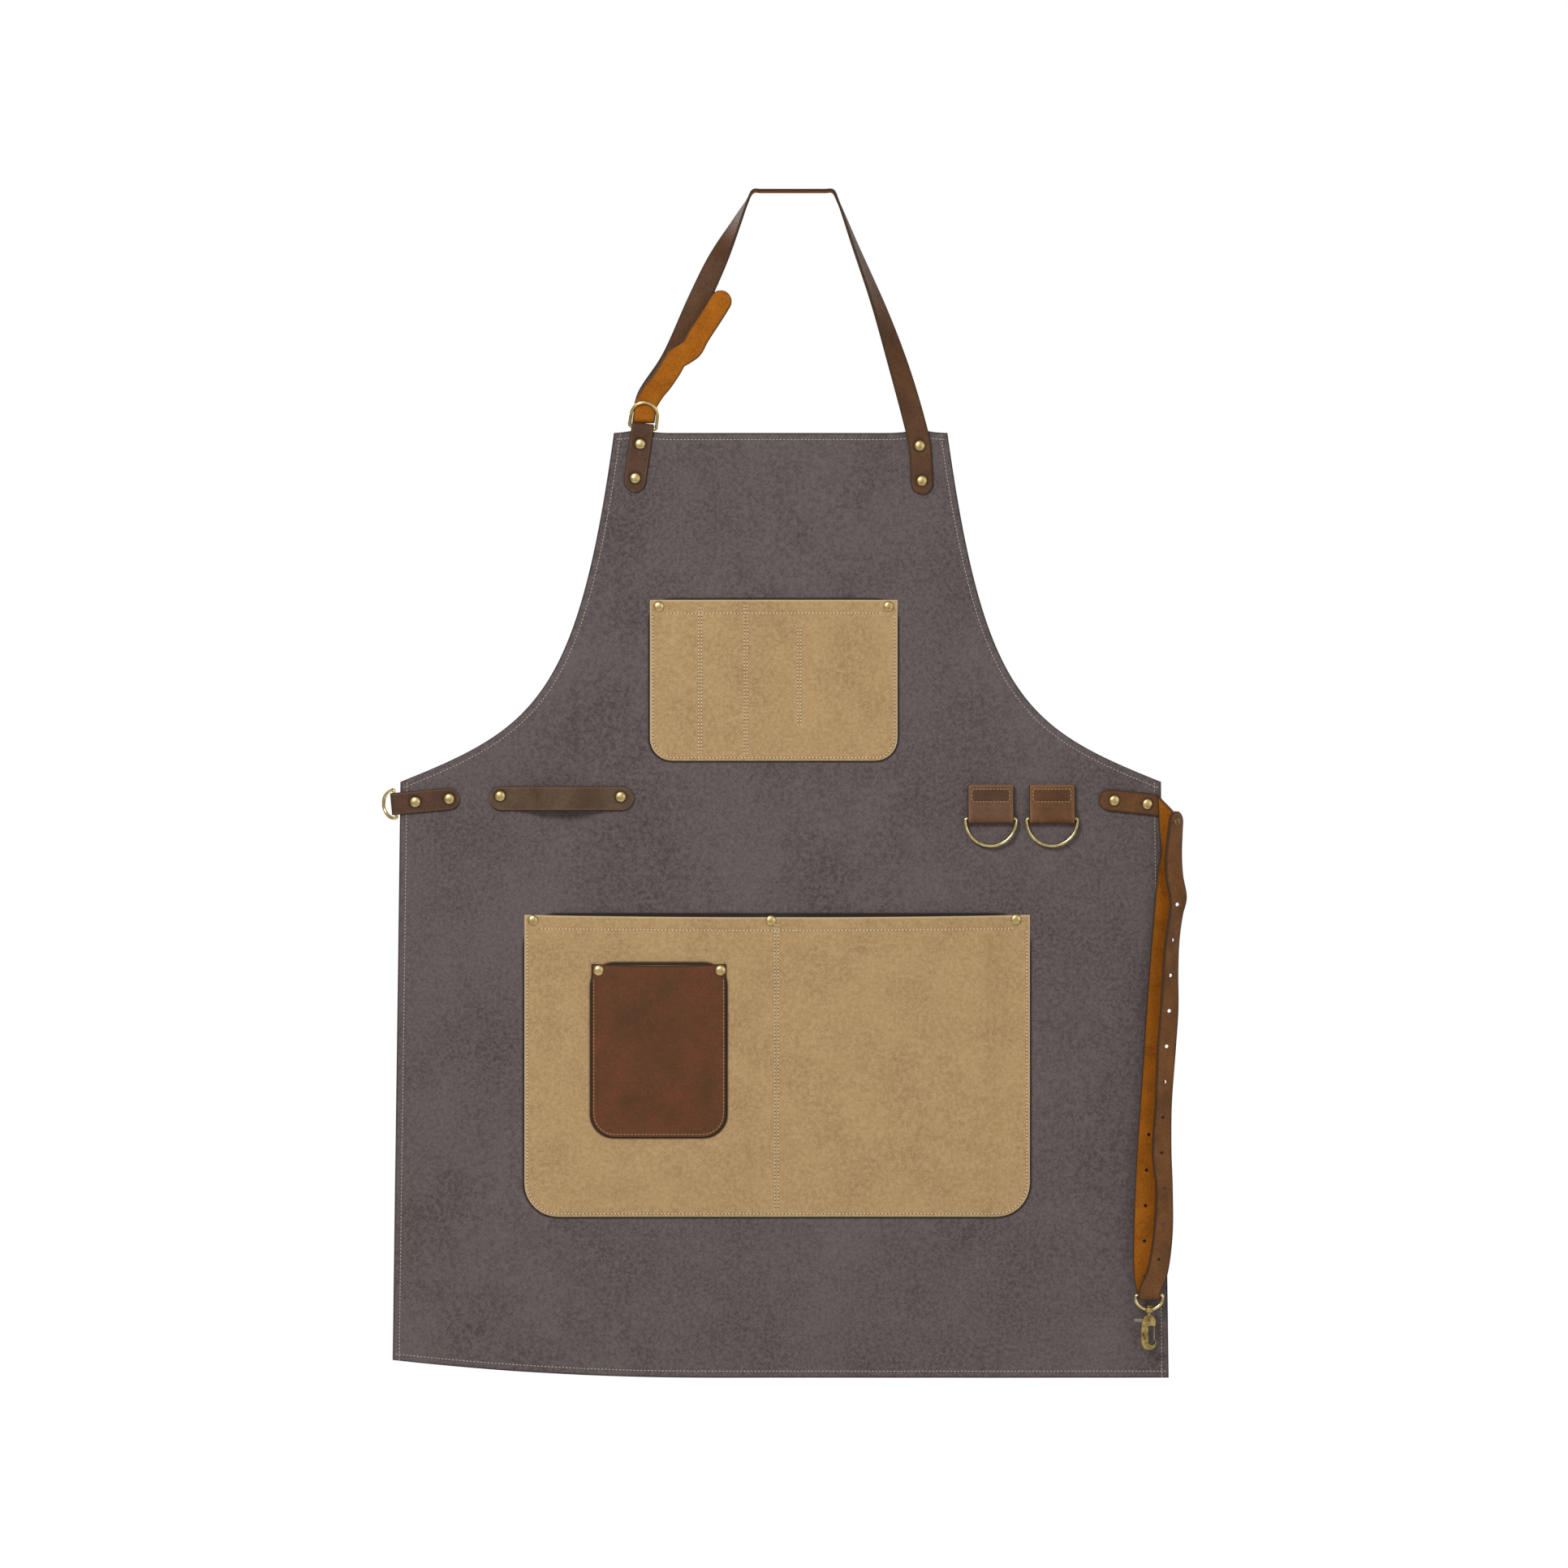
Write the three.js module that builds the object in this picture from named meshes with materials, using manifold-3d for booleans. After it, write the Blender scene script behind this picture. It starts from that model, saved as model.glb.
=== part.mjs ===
// Butcher's work apron: a waxed canvas panel with three pockets, a leather neck strap that
// adjusts through two D-rings, a towel loop, two tool rings and a leather waist strap with
// a swivel snap hook. Millimetres, +Z up, the wearer's front faces -Y. The origin lies
// under the top of the neck strap, where it hangs, on the centre line of the panel.

import * as THREE from 'three';
import { mergeVertices } from 'three/addons/utils/BufferGeometryUtils.js';
import Module from 'manifold-3d';

const wasm = await Module();
wasm.setup();

// Materials, thicknesses and clearances
const CANVAS = 1.2; // waxed canvas of the panel, its front face at y = 0
const CLOTH = 1.0; // lighter canvas of the two cloth pockets
const LEATHER = 2.4; // straps and tabs
const POCKET_LEATHER = 2.0;
const GAP = 0.3; // clearance between pieces that touch
const STRAP_WIDTH = 20;
const LAID_STRAP = -(GAP + LEATHER / 2); // middle of a strap that lies on the panel

// Rivets
const RIVET_CAP_RADIUS = 4.75;
const RIVET_CAP_HEIGHT = 1.8;
const RIVET_BACK_HEIGHT = 1.1;
const RIVET_POST_RADIUS = 1.5;
const RIVET_BORE = RIVET_POST_RADIUS + GAP;

// Panel: half widths and heights of its corners
const PANEL = {
  top: -216.3,
  topHalf: 150,
  side: -530,
  sideHalf: 342,
  hem: -1066,
  hemHalf: 349,
  hemLift: 16, // the left corner hangs this much higher than the right one
};

// Neck tab, with its lower rivet as its own origin and its fold on top
const NECK_TAB = { x: -130.7, z: -257, lean: 8.2, rivetSpacing: 31, bar: 46, end: 12.5 };
const NECK_RING = { half: 12.15, depth: 22.9, wire: 1.4, spacing: 3.1 };
const NECK_RING_FRONT_LEAN = 12;

// Waist tab on the left edge, with its inner rivet as its own origin
const WAIST_TAB = { x: -298, z: -545.3, lean: -95.4, rivetSpacing: 30.6, bar: 48.7, end: 9.5 };
const WAIST_RING = { half: 12.85, depth: 14.5, wire: 1.4 };
const WAIST_RING_TURN = -40;

// Tool tabs: two folded pieces of wide strap, each with a D-ring in its fold
const TOOL_TABS = { left: 188.8, right: 243.9 };
const TOOL_TAB = { width: 41.4, top: -533, barY: -4.6, barZ: -563, loop: 3.1 };
const TOOL_RING = { half: 22.85, depth: 24.5, wire: 1.4 };

// Towel loop
const TOWEL_LOOP = { left: -262, right: -132, top: -534, bottom: -556, bulge: 12 };
const TOWEL_RIVETS = [[-252.2, -542.8], [-143.8, -543.5]];

// Pockets: edges, corner radius, stitched dividers and how far each pocket bulges
const CHEST_POCKET = { left: -117.5, right: 105, top: -366.5, bottom: -511, radius: 20 };
const CHEST_CELLS = [[-101, -75.3], [-69.3, -34.4], [-28.4, 13.8], [19.8, 88.5]];
const CHEST_RIVETS = [[-109.5, -372.3], [97.1, -372.3]];
const LOWER_POCKET = { left: -230.3, right: 224, top: -649.7, bottom: -921, radius: 30 };
const LOWER_CELLS = [[-212, -18], [10, 202]];
const LOWER_RIVETS = [[-222.7, -654.5], [-8.8, -654.8], [211.7, -653.8]];
const LEATHER_POCKET = { left: -170, right: -49, top: -693.5, bottom: -849, radius: 20.5 };
const LEATHER_CELLS = [[-156, -62]];
const LEATHER_RIVETS = [[-163.5, -699.4], [-54, -699.4]];
const POCKET_ROOM = 4.7; // space inside a pocket, from the panel to its cloth

// Waist strap on the right edge
const ANCHOR = { x: 300, z: -546.8, lean: 6.3, rivetSpacing: 30, back: 14, front: 47 };
const STRAP_HOLE = 1.6;
const STRAP_HOLE_PITCH = 31.8;
const STRAP_HOLE_FIRST = -640; // height of the uppermost hole, on the outer run
const OUTER_HOLES = 11;
const INNER_HOLES = 5;
const STUD = { x: 355, z: -566, capRadius: 3.7, neckRadius: 1.3 };

// Snap hook at the foot of the waist strap
const SNAP = { x: 330.5, y: -14, bar: -990.6 };
const SNAP_EYE = { half: 12.1, depth: 12.9, wire: 1.4 };
const SNAP_BOSS = { radius: 3.6, top: -1001.6, bottom: -1006 };
const SWIVEL_RADIUS = 1.4;
const HOOK = { top: -1009, thickness: 5.6, slot: 2.4, pivotDepth: 4.4, pinRadius: 0.8 };

const FINISH = {
  canvas: { color: 0x61585a, roughness: 0.95, metalness: 0 },
  cloth: { color: 0xaf9067, roughness: 0.95, metalness: 0 },
  leather: { color: 0x533a2e, roughness: 0.6, metalness: 0 },
  strapLeather: { color: 0x5c402e, roughness: 0.6, metalness: 0 },
  pocketLeather: { color: 0x633f29, roughness: 0.55, metalness: 0 },
  brass: { color: 0x9e865f, roughness: 0.4, metalness: 1 },
};

// Joining and cutting --------------------------------------------------------------------

function toSolid(geometry) {
  const bare = geometry.clone();
  bare.deleteAttribute('normal');
  bare.deleteAttribute('uv');
  const merged = mergeVertices(bare, 1e-3);
  return new wasm.Manifold(new wasm.Mesh({
    numProp: 3,
    vertProperties: merged.attributes.position.array,
    triVerts: new Uint32Array(merged.index.array),
  }));
}

function toGeometry(solid) {
  const mesh = solid.getMesh();
  const geometry = new THREE.BufferGeometry();
  geometry.setAttribute('position', new THREE.BufferAttribute(mesh.vertProperties, 3));
  geometry.setIndex(new THREE.BufferAttribute(mesh.triVerts, 1));
  return geometry;
}

function cut(geometry, tools) {
  const result = tools.reduce((solid, tool) => solid.subtract(toSolid(tool)), toSolid(geometry));
  return toGeometry(result);
}

function join(geometries) {
  return toGeometry(geometries.map(toSolid).reduce((all, next) => all.add(next)));
}

function trim(geometry, limits) {
  return toGeometry(toSolid(geometry).intersect(toSolid(limits)));
}

// Basic shapes ---------------------------------------------------------------------------

// An outline drawn in X and Z, given a thickness along Y from its front face backwards.
function plate(outline, front, thickness, curveSegments = 6) {
  const geometry = new THREE.ExtrudeGeometry(outline, {
    depth: thickness, bevelEnabled: false, curveSegments,
  });
  geometry.rotateX(Math.PI / 2);
  geometry.translate(0, front + thickness, 0);
  return geometry;
}

// A section drawn in Y and Z, drawn out along X about the middle plane.
function drawnAlongX(section, width) {
  const geometry = new THREE.ExtrudeGeometry(section, { depth: width, bevelEnabled: false });
  geometry.translate(0, 0, -width / 2);
  const turn = new THREE.Matrix4().makeBasis(
    new THREE.Vector3(0, 1, 0), new THREE.Vector3(0, 0, 1), new THREE.Vector3(1, 0, 0),
  );
  return geometry.applyMatrix4(turn);
}

// A round bar along Y, used to drill rivet and strap holes.
function drill(x, z, radius, from = -30, to = 30, sides = 12) {
  const geometry = new THREE.CylinderGeometry(radius, radius, to - from, sides);
  return geometry.translate(x, (from + to) / 2, z);
}

// A turned piece whose axis runs along Y: points are [radius, y].
function turnedAlongY(points, x, z, sides = 14) {
  const profile = points.map(([radius, y]) => new THREE.Vector2(radius, y));
  const geometry = new THREE.LatheGeometry(profile, sides);
  return geometry.translate(x, 0, z);
}

// The section of a strap that follows a flat path: the path with a thickness.
function strapSection(path, thickness, curveSegments = 8) {
  const points = path.getPoints(curveSegments);
  const sideOf = (i, sign) => {
    const before = points[Math.max(i - 1, 0)];
    const after = points[Math.min(i + 1, points.length - 1)];
    const along = after.clone().sub(before).normalize();
    const offset = new THREE.Vector2(-along.y, along.x).multiplyScalar(sign * thickness / 2);
    return points[i].clone().add(offset);
  };
  const left = points.map((_, i) => sideOf(i, 1));
  const right = points.map((_, i) => sideOf(i, -1));
  return new THREE.Shape([...left, ...right.reverse()]);
}

// A strip with one or two half-round ends, along X, in X and Z.
function stripOutline(from, to, middle, width, roundTo = true) {
  const half = width / 2;
  const outline = new THREE.Shape();
  outline.moveTo(roundTo ? to - half : to, middle + half);
  outline.lineTo(from + half, middle + half);
  outline.absarc(from + half, middle, half, Math.PI / 2, 1.5 * Math.PI, false);
  outline.lineTo(roundTo ? to - half : to, middle - half);
  if (roundTo) outline.absarc(to - half, middle, half, -Math.PI / 2, Math.PI / 2, false);
  return outline;
}

// A flat strap that follows stations [x, y, z, turn]. The turn is the direction of the
// strap's width, in degrees from +X towards +Y. Its ends are half round or square.
function ribbon(stations, roundStart, roundEnd, stepsPerSpan = 3) {
  const places = stations.map(([x, y, z]) => new THREE.Vector3(x, y, z));
  const widths = stations.map(([, , , turn]) => {
    const angle = THREE.MathUtils.degToRad(turn);
    return new THREE.Vector3(Math.cos(angle), Math.sin(angle), 0);
  });
  const path = new THREE.CatmullRomCurve3(places, false, 'centripetal');
  const across = new THREE.CatmullRomCurve3(widths, false, 'catmullrom', 0.5);
  const length = path.getLength();
  const radius = STRAP_WIDTH / 2;
  const steps = (stations.length - 1) * stepsPerSpan;

  const roundness = [0.12, 0.5, 0.87];
  const endMarks = roundness.map((share) => radius * (1 - Math.sqrt(1 - share * share)) / length);
  const marks = Array.from({ length: steps + 1 }, (_, i) => ({ t: i / steps, share: 1 }));
  const inner = marks.filter(({ t }) =>
    (!roundStart || t > 1.4 * radius / length) && (!roundEnd || t < 1 - 1.4 * radius / length));
  const tAt = (u) => path.getUtoTmapping(u);
  if (roundStart) {
    inner.unshift({ t: tAt(radius / length), share: 1 });
    roundness.forEach((share, i) => inner.splice(i, 0, { t: tAt(endMarks[i]), share }));
  }
  if (roundEnd) {
    inner.push({ t: tAt(1 - radius / length), share: 1 });
    roundness.toReversed().forEach((share, i) =>
      inner.push({ t: tAt(1 - endMarks[2 - i]), share }));
  }

  const geometry = new THREE.BoxGeometry(STRAP_WIDTH, 1, LEATHER, 1, inner.length - 1, 1);
  const position = geometry.attributes.position;
  for (let i = 0; i < position.count; i += 1) {
    const row = Math.round((position.getY(i) + 0.5) * (inner.length - 1));
    const { t, share } = inner[row];
    const along = path.getTangent(t);
    const side = across.getPoint(t);
    side.addScaledVector(along, -side.dot(along)).normalize();
    const face = new THREE.Vector3().crossVectors(side, along);
    const point = path.getPoint(t)
      .addScaledVector(side, position.getX(i) * share)
      .addScaledVector(face, position.getZ(i));
    position.setXYZ(i, point.x, point.y, point.z);
  }
  return geometry;
}

// A wire D: the straight bar lies on X through the origin and the bow reaches up +Z. The
// bar is open in its middle, as a bent wire ring is.
function wireD({ half, depth, wire }) {
  const corner = 2;
  const slit = 0.25;
  const bow = Math.min(half, depth - corner);
  const arc = (cx, cz, rx, rz, from, to, count) => Array.from({ length: count + 1 }, (_, i) => {
    const angle = THREE.MathUtils.degToRad(from + (to - from) * i / count);
    return new THREE.Vector3(cx + rx * Math.cos(angle), 0, cz + rz * Math.sin(angle));
  });
  const points = [
    new THREE.Vector3(slit, 0, 0),
    ...arc(half - corner, corner, corner, corner, -90, 0, 3),
    ...arc(0, depth - bow, half, bow, 12, 168, 12),
    ...arc(corner - half, corner, corner, corner, 180, 270, 3),
    new THREE.Vector3(-slit, 0, 0),
  ];
  const section = new THREE.Shape().absarc(0, 0, wire, 0, 2 * Math.PI, false);
  return new THREE.ExtrudeGeometry(section, {
    steps: 32,
    curveSegments: 4,
    extrudePath: new THREE.CatmullRomCurve3(points, false, 'centripetal'),
  });
}

// The apron's pieces -------------------------------------------------------------------

const apron = new THREE.Group();

function add(name, geometry, finish, parent = apron) {
  const mesh = new THREE.Mesh(geometry, new THREE.MeshStandardMaterial(FINISH[finish]));
  mesh.name = name;
  parent.add(mesh);
  return mesh;
}

// A double-cap rivet from its front face to its back face: the front cap, and the back
// cap whose post runs through the layers.
function addRivet(name, x, z, front, back, parent = apron) {
  const cap = RIVET_CAP_RADIUS;
  const frontCap = turnedAlongY([
    [0, front - GAP - RIVET_CAP_HEIGHT],
    [0.55 * cap, front - GAP - 0.86 * RIVET_CAP_HEIGHT],
    [0.9 * cap, front - GAP - 0.45 * RIVET_CAP_HEIGHT],
    [cap, front - GAP],
    [0, front - GAP],
  ], x, z);
  const backCap = turnedAlongY([
    [0, front],
    [RIVET_POST_RADIUS, front],
    [RIVET_POST_RADIUS, back + GAP],
    [0.9 * cap, back + GAP],
    [0.7 * cap, back + GAP + RIVET_BACK_HEIGHT],
    [0, back + GAP + RIVET_BACK_HEIGHT],
  ], x, z);
  add(`${name}_cap`, frontCap, 'brass', parent);
  add(`${name}_post`, backCap, 'brass', parent);
}

// A frame leaning by an angle about Y at a point of the panel.
function leaningFrame({ x, z, lean }) {
  const frame = new THREE.Group();
  frame.position.set(x, 0, z);
  frame.rotation.y = THREE.MathUtils.degToRad(lean);
  apron.add(frame);
  return frame;
}

// Where a point of a leaning frame lies on the panel.
function onPanel({ x, z, lean }, alongX, alongZ) {
  const angle = THREE.MathUtils.degToRad(lean);
  return [
    x + alongX * Math.cos(angle) + alongZ * Math.sin(angle),
    z - alongX * Math.sin(angle) + alongZ * Math.cos(angle),
  ];
}

// A strap tab folded over the panel's edge and round the bars of its rings. Its two runs
// hold the canvas between them, and its fold is on top.
function ringTab({ rivetSpacing, bar, end }, barSpacing, wire) {
  const frontRun = LAID_STRAP;
  const backRun = CANVAS + GAP + LEATHER / 2;
  const loop = wire + GAP + LEATHER / 2;
  const frontBar = (CANVAS - barSpacing) / 2;
  const backBar = (CANVAS + barSpacing) / 2;
  const flare = bar - 9;
  const path = new THREE.Path();
  path.moveTo(frontRun, -end);
  path.lineTo(frontRun, flare);
  path.lineTo(frontBar - loop, bar - 2);
  path.lineTo(frontBar - loop, bar);
  path.absarc(frontBar, bar, loop, Math.PI, Math.PI / 2, true);
  path.absarc(backBar, bar, loop, Math.PI / 2, 0, true);
  path.lineTo(backBar + loop, bar - 2);
  path.lineTo(backRun, flare);
  path.lineTo(backRun, -end);
  const strap = drawnAlongX(strapSection(path, LEATHER, 4), STRAP_WIDTH);

  const half = STRAP_WIDTH / 2;
  const outline = new THREE.Shape();
  outline.moveTo(half, bar + 10);
  outline.lineTo(-half, bar + 10);
  outline.lineTo(-half, half - end);
  outline.absarc(0, half - end, half, Math.PI, 2 * Math.PI, false);
  const rounded = trim(strap, plate(outline, -20, 40));
  return cut(rounded, [drill(0, 0, RIVET_BORE), drill(0, rivetSpacing, RIVET_BORE)]);
}

function addRingTab(name, tab, barSpacing, wire) {
  const frame = leaningFrame(tab);
  add(`${name}_tab`, ringTab(tab, barSpacing, wire), 'leather', frame);
  const front = -GAP - LEATHER;
  const back = CANVAS + GAP + LEATHER;
  addRivet(`${name}_tab_rivet_1`, 0, tab.rivetSpacing, front, back, frame);
  addRivet(`${name}_tab_rivet_2`, 0, 0, front, back, frame);
  return frame;
}

// The canvas panel: straight top, curved armholes, slightly flared sides, a hem that
// hangs higher at its left corner, and a hole for each rivet.
function panel(rivetHoles) {
  const { top, topHalf, side, sideHalf, hem, hemHalf, hemLift } = PANEL;
  const outline = new THREE.Shape();
  outline.moveTo(topHalf, top);
  outline.lineTo(-topHalf, top);
  outline.bezierCurveTo(-183, -456, -222, -482, -sideHalf, side);
  outline.lineTo(-hemHalf, hem + hemLift);
  outline.quadraticCurveTo(-200, hem, -60, hem);
  outline.lineTo(hemHalf, hem);
  outline.lineTo(sideHalf, side);
  outline.bezierCurveTo(222, -482, 183, -456, topHalf, top);
  outline.holes = rivetHoles.map(([x, z]) =>
    new THREE.Path().absarc(x, z, RIVET_BORE, 0, 2 * Math.PI, true));
  return plate(outline, 0, CANVAS, 8);
}

function pocketOutline({ left, right, top, bottom, radius }) {
  const outline = new THREE.Shape();
  outline.moveTo(right, top);
  outline.lineTo(left, top);
  outline.lineTo(left, bottom + radius);
  outline.absarc(left + radius, bottom + radius, radius, Math.PI, 1.5 * Math.PI, false);
  outline.lineTo(right - radius, bottom);
  outline.absarc(right - radius, bottom + radius, radius, 1.5 * Math.PI, 2 * Math.PI, false);
  return outline;
}

// A patch pocket: its edges lie flat, and each cell between two stitched lines stands off
// the cloth behind it, open on top.
function pocket(edges, cells, thickness, behind, rivets) {
  const border = 9;
  const front = behind - GAP - thickness;
  const sheet = plate(pocketOutline(edges), front, thickness);
  const cell = ([left, right], inset, top) => pocketOutline({
    left: left + inset, right: right - inset, top, bottom: edges.bottom + border + inset, radius: 8,
  });
  const bulges = cells.map((sides) =>
    plate(cell(sides, -thickness, edges.top), behind - POCKET_ROOM - thickness, POCKET_ROOM, 3));
  const rooms = cells.map((sides) =>
    plate(cell(sides, 0, edges.top + 5), behind - POCKET_ROOM, POCKET_ROOM + 5, 3));
  const bores = rivets.map(([x, z]) => drill(x, z, RIVET_BORE));
  return cut(join([sheet, ...bulges]), [...rooms, ...bores]);
}

function addPockets() {
  add('chest_pocket', pocket(CHEST_POCKET, CHEST_CELLS, CLOTH, 0, CHEST_RIVETS), 'cloth');
  const clothFront = -GAP - CLOTH;
  CHEST_RIVETS.forEach(([x, z], i) =>
    addRivet(`chest_pocket_rivet_${i + 1}`, x, z, clothFront, CANVAS));

  const lower = pocket(LOWER_POCKET, LOWER_CELLS, CLOTH, 0, [...LOWER_RIVETS, ...LEATHER_RIVETS]);
  add('lower_pocket', lower, 'cloth');
  LOWER_RIVETS.forEach(([x, z], i) =>
    addRivet(`lower_pocket_rivet_${i + 1}`, x, z, clothFront, CANVAS));

  const bulgeFront = -POCKET_ROOM - CLOTH;
  const leather = pocket(LEATHER_POCKET, LEATHER_CELLS, POCKET_LEATHER, bulgeFront, LEATHER_RIVETS);
  add('leather_pocket', leather, 'pocketLeather');
  LEATHER_RIVETS.forEach(([x, z], i) =>
    addRivet(`leather_pocket_rivet_${i + 1}`, x, z, bulgeFront - GAP - POCKET_LEATHER,
      -POCKET_ROOM));
}

// The neck strap: riveted on the right, up and over the hanging point with a quarter turn
// in each leg, down behind both rings, round the back ring's bow and out behind the front
// ring's bow, where its tail stands up with the flesh side out.
const NECK_RIVETS = [[125.1, -227.8], [127, -259.4]];

function neckStrap() {
  const atRings = (y, height) => {
    const [x, z] = onPanel(NECK_TAB, 0, height);
    return [x, y, z, 180];
  };
  const rings = NECK_TAB.bar;
  const strap = ribbon([
    [127.8, LAID_STRAP, -271.6, 0],
    [127, LAID_STRAP, -259.4, 0],
    [125.1, LAID_STRAP, -227.8, 0],
    [121.9, -1.5, -213, 2],
    [108.4, -1.3, -164.3, 22],
    [89.4, -0.8, -105.9, 51],
    [66.8, -0.3, -47.5, 75],
    [52, 0, -9, 88],
    [43, 0, LEATHER / 2, 90],
    [30, 0, LEATHER / 2, 90],
    [11, 0, LEATHER / 2, 90],
    [-8, 0, LEATHER / 2, 90],
    [-22, 0, LEATHER / 2, 90],
    [-31, 0, -9, 96],
    [-41.2, 0.3, -29.9, 119],
    [-58.8, 1.5, -65, 158],
    [-76, 3, -102, 178],
    [-98.3, 4.8, -151, 180],
    atRings(6, rings + 26),
    atRings(6, rings + 13),
    atRings(4.9, rings + 9.3),
    atRings(2.1, rings + 7.6),
    atRings(-0.7, rings + 9.3),
    atRings(-1.8, rings + 13),
    atRings(-1.8, rings + 26),
    [-110, -4.5, -170, 180],
    [-104, -8, -158.4, 180],
    [-84, -11, -144, 180],
    [-68.6, -8, -123.4, 180],
    [-54.8, -5.5, -100, 180],
    [-48.9, -5, -89.8, 180],
  ], true, true);
  return cut(strap, NECK_RIVETS.map(([x, z]) => drill(x, z, RIVET_BORE, -6, 3)));
}

function addNeck() {
  const frame = addRingTab('neck', NECK_TAB, NECK_RING.spacing, NECK_RING.wire);
  const addRing = (name, y, lean) => {
    const ring = add(name, wireD(NECK_RING), 'brass', frame);
    ring.position.set(0, y, NECK_TAB.bar);
    ring.rotation.x = THREE.MathUtils.degToRad(lean);
  };
  addRing('neck_dring_front', (CANVAS - NECK_RING.spacing) / 2, NECK_RING_FRONT_LEAN);
  addRing('neck_dring_back', (CANVAS + NECK_RING.spacing) / 2, 0);
  add('neck_strap', neckStrap(), 'strapLeather');
  NECK_RIVETS.forEach(([x, z], i) =>
    addRivet(`neck_strap_rivet_${i + 1}`, x, z, -GAP - LEATHER, CANVAS));
}

function addWaistRing() {
  const frame = addRingTab('waist', WAIST_TAB, 0, WAIST_RING.wire);
  const ring = add('waist_dring', wireD(WAIST_RING), 'brass', frame);
  ring.position.set(0, CANVAS / 2, WAIST_TAB.bar);
  ring.rotation.x = THREE.MathUtils.degToRad(WAIST_RING_TURN);
}

// The towel loop: a strap riveted at both ends that stands off the panel in its middle.
function towelLoop() {
  const { left, right, top, bottom, bulge } = TOWEL_LOOP;
  const crest = (left + right) / 2 - 2;
  const path = new THREE.Path();
  path.moveTo(left, LAID_STRAP);
  path.lineTo(left + 22, LAID_STRAP);
  path.bezierCurveTo(left + 36, LAID_STRAP, crest - 26, -bulge, crest, -bulge);
  path.bezierCurveTo(crest + 26, -bulge, right - 36, LAID_STRAP, right - 22, LAID_STRAP);
  path.lineTo(right, LAID_STRAP);
  const height = top - bottom;
  const strap = new THREE.ExtrudeGeometry(strapSection(path, LEATHER), {
    depth: height, bevelEnabled: false,
  });
  strap.translate(0, 0, bottom);
  const outline = stripOutline(left, right, (top + bottom) / 2, height);
  const rounded = trim(strap, plate(outline, -20, 25));
  return cut(rounded, TOWEL_RIVETS.map(([x, z]) => drill(x, z, RIVET_BORE)));
}

// A tool tab: a strap folded in half round its ring's bar and sewn to the panel.
function toolTab() {
  const { width, top, barY, barZ, loop } = TOOL_TAB;
  const frontRun = LAID_STRAP - LEATHER - GAP;
  const path = new THREE.Path();
  path.moveTo(LAID_STRAP, top);
  path.lineTo(LAID_STRAP, barZ);
  path.absarc(barY, barZ, loop, 0, -Math.PI, true);
  path.lineTo(frontRun, barZ + 11);
  path.lineTo(frontRun, top);
  return drawnAlongX(strapSection(path, LEATHER), width);
}

function addToolRings() {
  for (const [side, x] of Object.entries(TOOL_TABS)) {
    add(`tool_tab_${side}`, toolTab(), 'leather').position.x = x;
    const ring = add(`tool_dring_${side}`, wireD(TOOL_RING), 'brass');
    ring.position.set(x, TOOL_TAB.barY, TOOL_TAB.barZ);
    ring.rotation.y = Math.PI;
  }
}

// The waist strap's riveted end, square where the strap turns down at the panel's edge.
function addAnchor() {
  const frame = leaningFrame(ANCHOR);
  const outline = stripOutline(-ANCHOR.back, ANCHOR.front, 0, STRAP_WIDTH, false);
  const rivets = [0, ANCHOR.rivetSpacing];
  const strap = cut(plate(outline, -GAP - LEATHER, LEATHER), rivets.map((x) => drill(x, 0, RIVET_BORE)));
  add('waist_strap_anchor', strap, 'leather', frame);
  rivets.forEach((x, i) =>
    addRivet(`waist_strap_rivet_${i + 1}`, x, 0, -GAP - LEATHER, CANVAS, frame));
}

// The hanging strap: down with its flesh side out, round the snap's bar and back up in
// front, where its tip is buttoned to the run behind it. Adjusting holes run along it.
function waistStrap() {
  const innerRun = [
    [351, -4.5, -560, 0],
    [348.5, -4.8, -610, 0],
    [344, -5.5, -660, 0],
    [334.5, -7.5, -790, 0],
    [328, -9.3, -880, 0],
    [328, -10, -960, 0],
    [SNAP.x, SNAP.y + 4, SNAP.bar + 1, 0],
  ];
  const fold = [
    [SNAP.x, SNAP.y + 2.8, SNAP.bar - 1.8, 0],
    [SNAP.x, SNAP.y, SNAP.bar - 3, 0],
    [SNAP.x, SNAP.y - 2.8, SNAP.bar - 1.8, 0],
  ];
  const outerRun = [
    [SNAP.x, SNAP.y - 4, SNAP.bar + 1, 0],
    [338, -18, -968, 0],
    [341, -17.4, -900, 0],
    [343, -16.5, -802, 0],
    [347, -14.5, -718, 0],
    [353.5, -12, -640, 0],
    [354, -9.4, -590, 0],
    [354.8, -8.4, -555.5, 0],
  ];
  const strap = ribbon([...innerRun, ...fold, ...outerRun], false, true);
  const alongRun = (run, z) => {
    const next = run.findIndex((station, i) => i > 0 && (station[2] - z) * (run[i - 1][2] - z) <= 0);
    const [a, b] = [run[next - 1], run[next]];
    return THREE.MathUtils.mapLinear(z, a[2], b[2], a[0], b[0]);
  };
  const holes = [drill(STUD.x, STUD.z, STUD.neckRadius + GAP)];
  for (let i = 0; i < OUTER_HOLES; i += 1) {
    const z = STRAP_HOLE_FIRST - i * STRAP_HOLE_PITCH;
    const behindRun = THREE.MathUtils.mapLinear(z, -640, -960, -8.5, -14);
    holes.push(drill(alongRun(outerRun, z), z, STRAP_HOLE, -30, behindRun, 8));
  }
  for (let i = 0; i < INNER_HOLES; i += 1) {
    const z = -974 + i * STRAP_HOLE_PITCH;
    holes.push(drill(alongRun(innerRun, z), z, STRAP_HOLE, -14, 5, 8));
  }
  return cut(strap, holes);
}

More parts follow.
